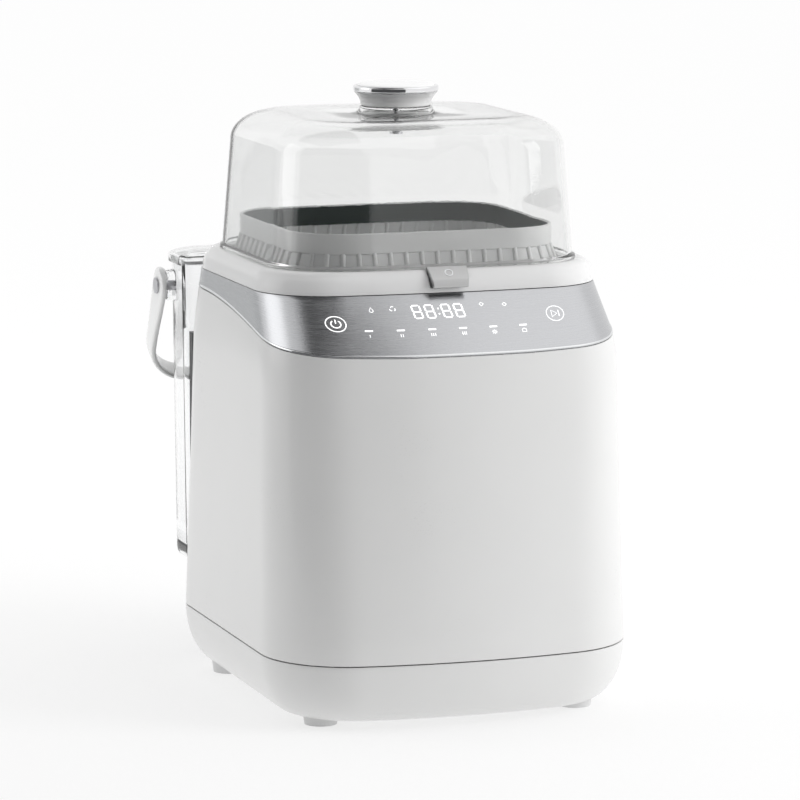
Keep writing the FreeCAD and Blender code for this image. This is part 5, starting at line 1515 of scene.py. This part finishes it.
@dataclass
class Screws:
    """Screw heads on the deck and under the feet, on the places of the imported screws."""

    height: float = 0.9
    deck_r: float = 3.4
    deck_sink: float = 0.55
    base_r: float = 4.0
    base_rise: float = 0.5
    base_places: tuple[Point, ...] = ((103.0, -143.0), (115.0, 62.0))

    def heads(self, node: str, points: list[Vector], radius: float, turn: float) -> None:
        """Round heads on a set of points, turned about X by an angle in degrees."""
        pattern = Studs(f"{node}_pattern", radius, self.height, turn, SCREW_STEEL)
        made = Skin(points=points).object(f"{node}_heads", SCREW_STEEL)
        deliver(pattern.run(made), "stand", Slot.STEEL)

    def build(self) -> None:
        """Make both sets of heads."""
        low, high = millimetres("deck_screws")
        deck = [Vector((x, y, high.z - self.deck_sink))
                for x in (low.x + self.deck_r, high.x - self.deck_r)
                for y in (low.y + self.deck_r, high.y - self.deck_r)]
        self.heads("deck_screws", deck, self.deck_r, 0.0)
        z = millimetres("base_screws")[0].z + self.base_rise
        base = [Vector((side * x, y, z)) for side in (-1, 1) for x, y in self.base_places]
        self.heads("base_screws", base, self.base_r, 180.0)


def dress_solids() -> None:
    """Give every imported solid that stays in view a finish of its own."""
    dress(RUBBER, "rubber_feet")
    dress(SCREW_STEEL, "base_screws", "deck_screws", "latch_pin", "knob_screw", "handle_pins",
          "valve_spring")
    dress(STEEL, "wash_chamber", "filter_screen", "spray_post", "heater_plate")
    dress(INNER_GREY, "top_deck", "bottle_rack", "rack_pegs", "rack_feet", "spray_arm",
          "fan_housing", "air_duct", "dock_nozzle", "valve_body", "valve_cage", "valve_plunger")
    dress(DARK, "rear_panel", "dock_shelf", "power_inlet", "sump_cup", "pump_casing",
          "pump_impeller", "fan_rotor", "suction_pipe")
    dress(MOTOR_CAN, "pump_motor", "fan_motor", "air_heater")
    dress(SILICONE, "chamber_seal", "dome_seal", "tank_seal", "feed_hose", "touch_pads")
    dress(KNOB_WHITE, "knob_base")
    dress(BOARD, "power_board", "control_board")
    dress(DISPLAY, "display_module")


# ------------------------------------------------------------------ studio


@dataclass
class Studio:
    """The camera, the pale floor and the soft lights."""

    camera_place: Place = (-1.14875, -3.45489, 0.78316)
    camera_turn: tuple[float, float] = (8.752, -18.519)
    lens: float = 210.17
    floor_half: float = 14.0
    middle_z: float = 0.25
    sky: float = 0.97

    def camera(self) -> None:
        """The camera, level to the horizon."""
        lens = bpy.data.cameras.new("camera")
        lens.lens = self.lens
        lens.sensor_width = 36.0
        lens.clip_end = 100.0
        made = bpy.data.objects.new("camera", lens)
        made.location = self.camera_place
        down, round_z = self.camera_turn
        made.rotation_euler = (math.radians(90.0 - down), 0.0, math.radians(round_z))
        bpy.context.scene.collection.objects.link(made)
        bpy.context.scene.camera = made

    def floor(self) -> None:
        """The pale floor."""
        side = self.floor_half / MM
        skin = Skin()
        skin.face([Vector((-side, -side, 0)), Vector((side, -side, 0)), Vector((side, side, 0)),
                   Vector((-side, side, 0))])
        skin.object("floor", FLOOR)

    def lamp(self, name: str, place: Place, size: tuple[float, float], power: float,
             mirrored: bool = True) -> None:
        """A soft box that faces the middle; mirrored says whether it shows in reflections."""
        light = bpy.data.lights.new(name, "AREA")
        light.shape = "RECTANGLE"
        light.size, light.size_y = size
        light.energy = power
        made = bpy.data.objects.new(name, light)
        made.location = place
        aim = Vector((0, 0, self.middle_z)) - Vector(place)
        made.rotation_euler = aim.to_track_quat("-Z", "Y").to_euler()
        made.visible_glossy = mirrored
        bpy.context.scene.collection.objects.link(made)

    def card(self, name: str, finish: Finish, middle: Place, across: Place, along: Place,
             shades: bool = False) -> None:
        """A card that shapes the reflections; it is never seen itself.

        Args:
            name: the card's name.
            finish: its finish.
            middle: its centre in metres.
            across: half of its width as a vector.
            along: half of its height as a vector.
            shades: whether it darkens dull surfaces too, and not just reflections.
        """
        centre, right, up = (Vector(value) / MM for value in (middle, across, along))
        skin = Skin()
        skin.face([centre - right - up, centre + right - up,
                   centre + right + up, centre - right + up])
        made = skin.object(name, finish)
        made.visible_camera = False
        made.visible_shadow = False
        made.visible_diffuse = shades

    def world(self) -> None:
        """An even pale surround."""
        scene = bpy.context.scene
        scene.world = bpy.data.worlds.new("surround")
        scene.world.use_nodes = True
        nodes = Nodes(scene.world.node_tree)
        sky = nodes.add("ShaderNodeBackground", inputs={
            "Color": (1.0, 1.0, 1.0, 1.0), "Strength": self.sky})
        nodes.add("ShaderNodeOutputWorld", inputs={"Surface": sky.outputs[0]})
        scene.view_settings.view_transform = "Standard"

    def build(self) -> None:
        """Set up the studio."""
        self.camera()
        self.floor()
        self.lamp("left_box", (-2.3, 0.9, 1.2), (1.4, 1.8), 7.0)
        self.lamp("right_box", (2.1, -1.5, 1.3), (1.2, 1.8), 25.0, False)
        self.lamp("top_box", (1.15, -0.2, 1.85), (1.6, 1.4), 1.8)
        self.card("corner_card", DARK, (-0.75, -0.92, 0.82), (1.0, -0.82, 0.0), (0.0, 0.0, 0.82),
                  True)
        self.card("ceiling_card", DARK, (-0.45, 0.15, 1.95), (0.70, 0.0, 0.0), (0.0, 0.85, 0.0))
        self.card("rear_card", INNER_GREY, (-1.25, 2.0, 0.22), (0.62, 0.25, 0.0), (0.0, 0.0, 0.30))
        self.world()


def main() -> None:
    """Build the studio and every sub-assembly in order."""
    logging.basicConfig(level=logging.INFO, format="%(name)s: %(message)s")
    Studio().build()
    dress_solids()
    body = Body()
    columns = body.build()
    BandMarks(columns).build()
    LidFrame(body.rim).build()
    Dome().build()
    Tray().build()
    Tank().build()
    Screws().build()


if __name__ == "__main__":
    main()
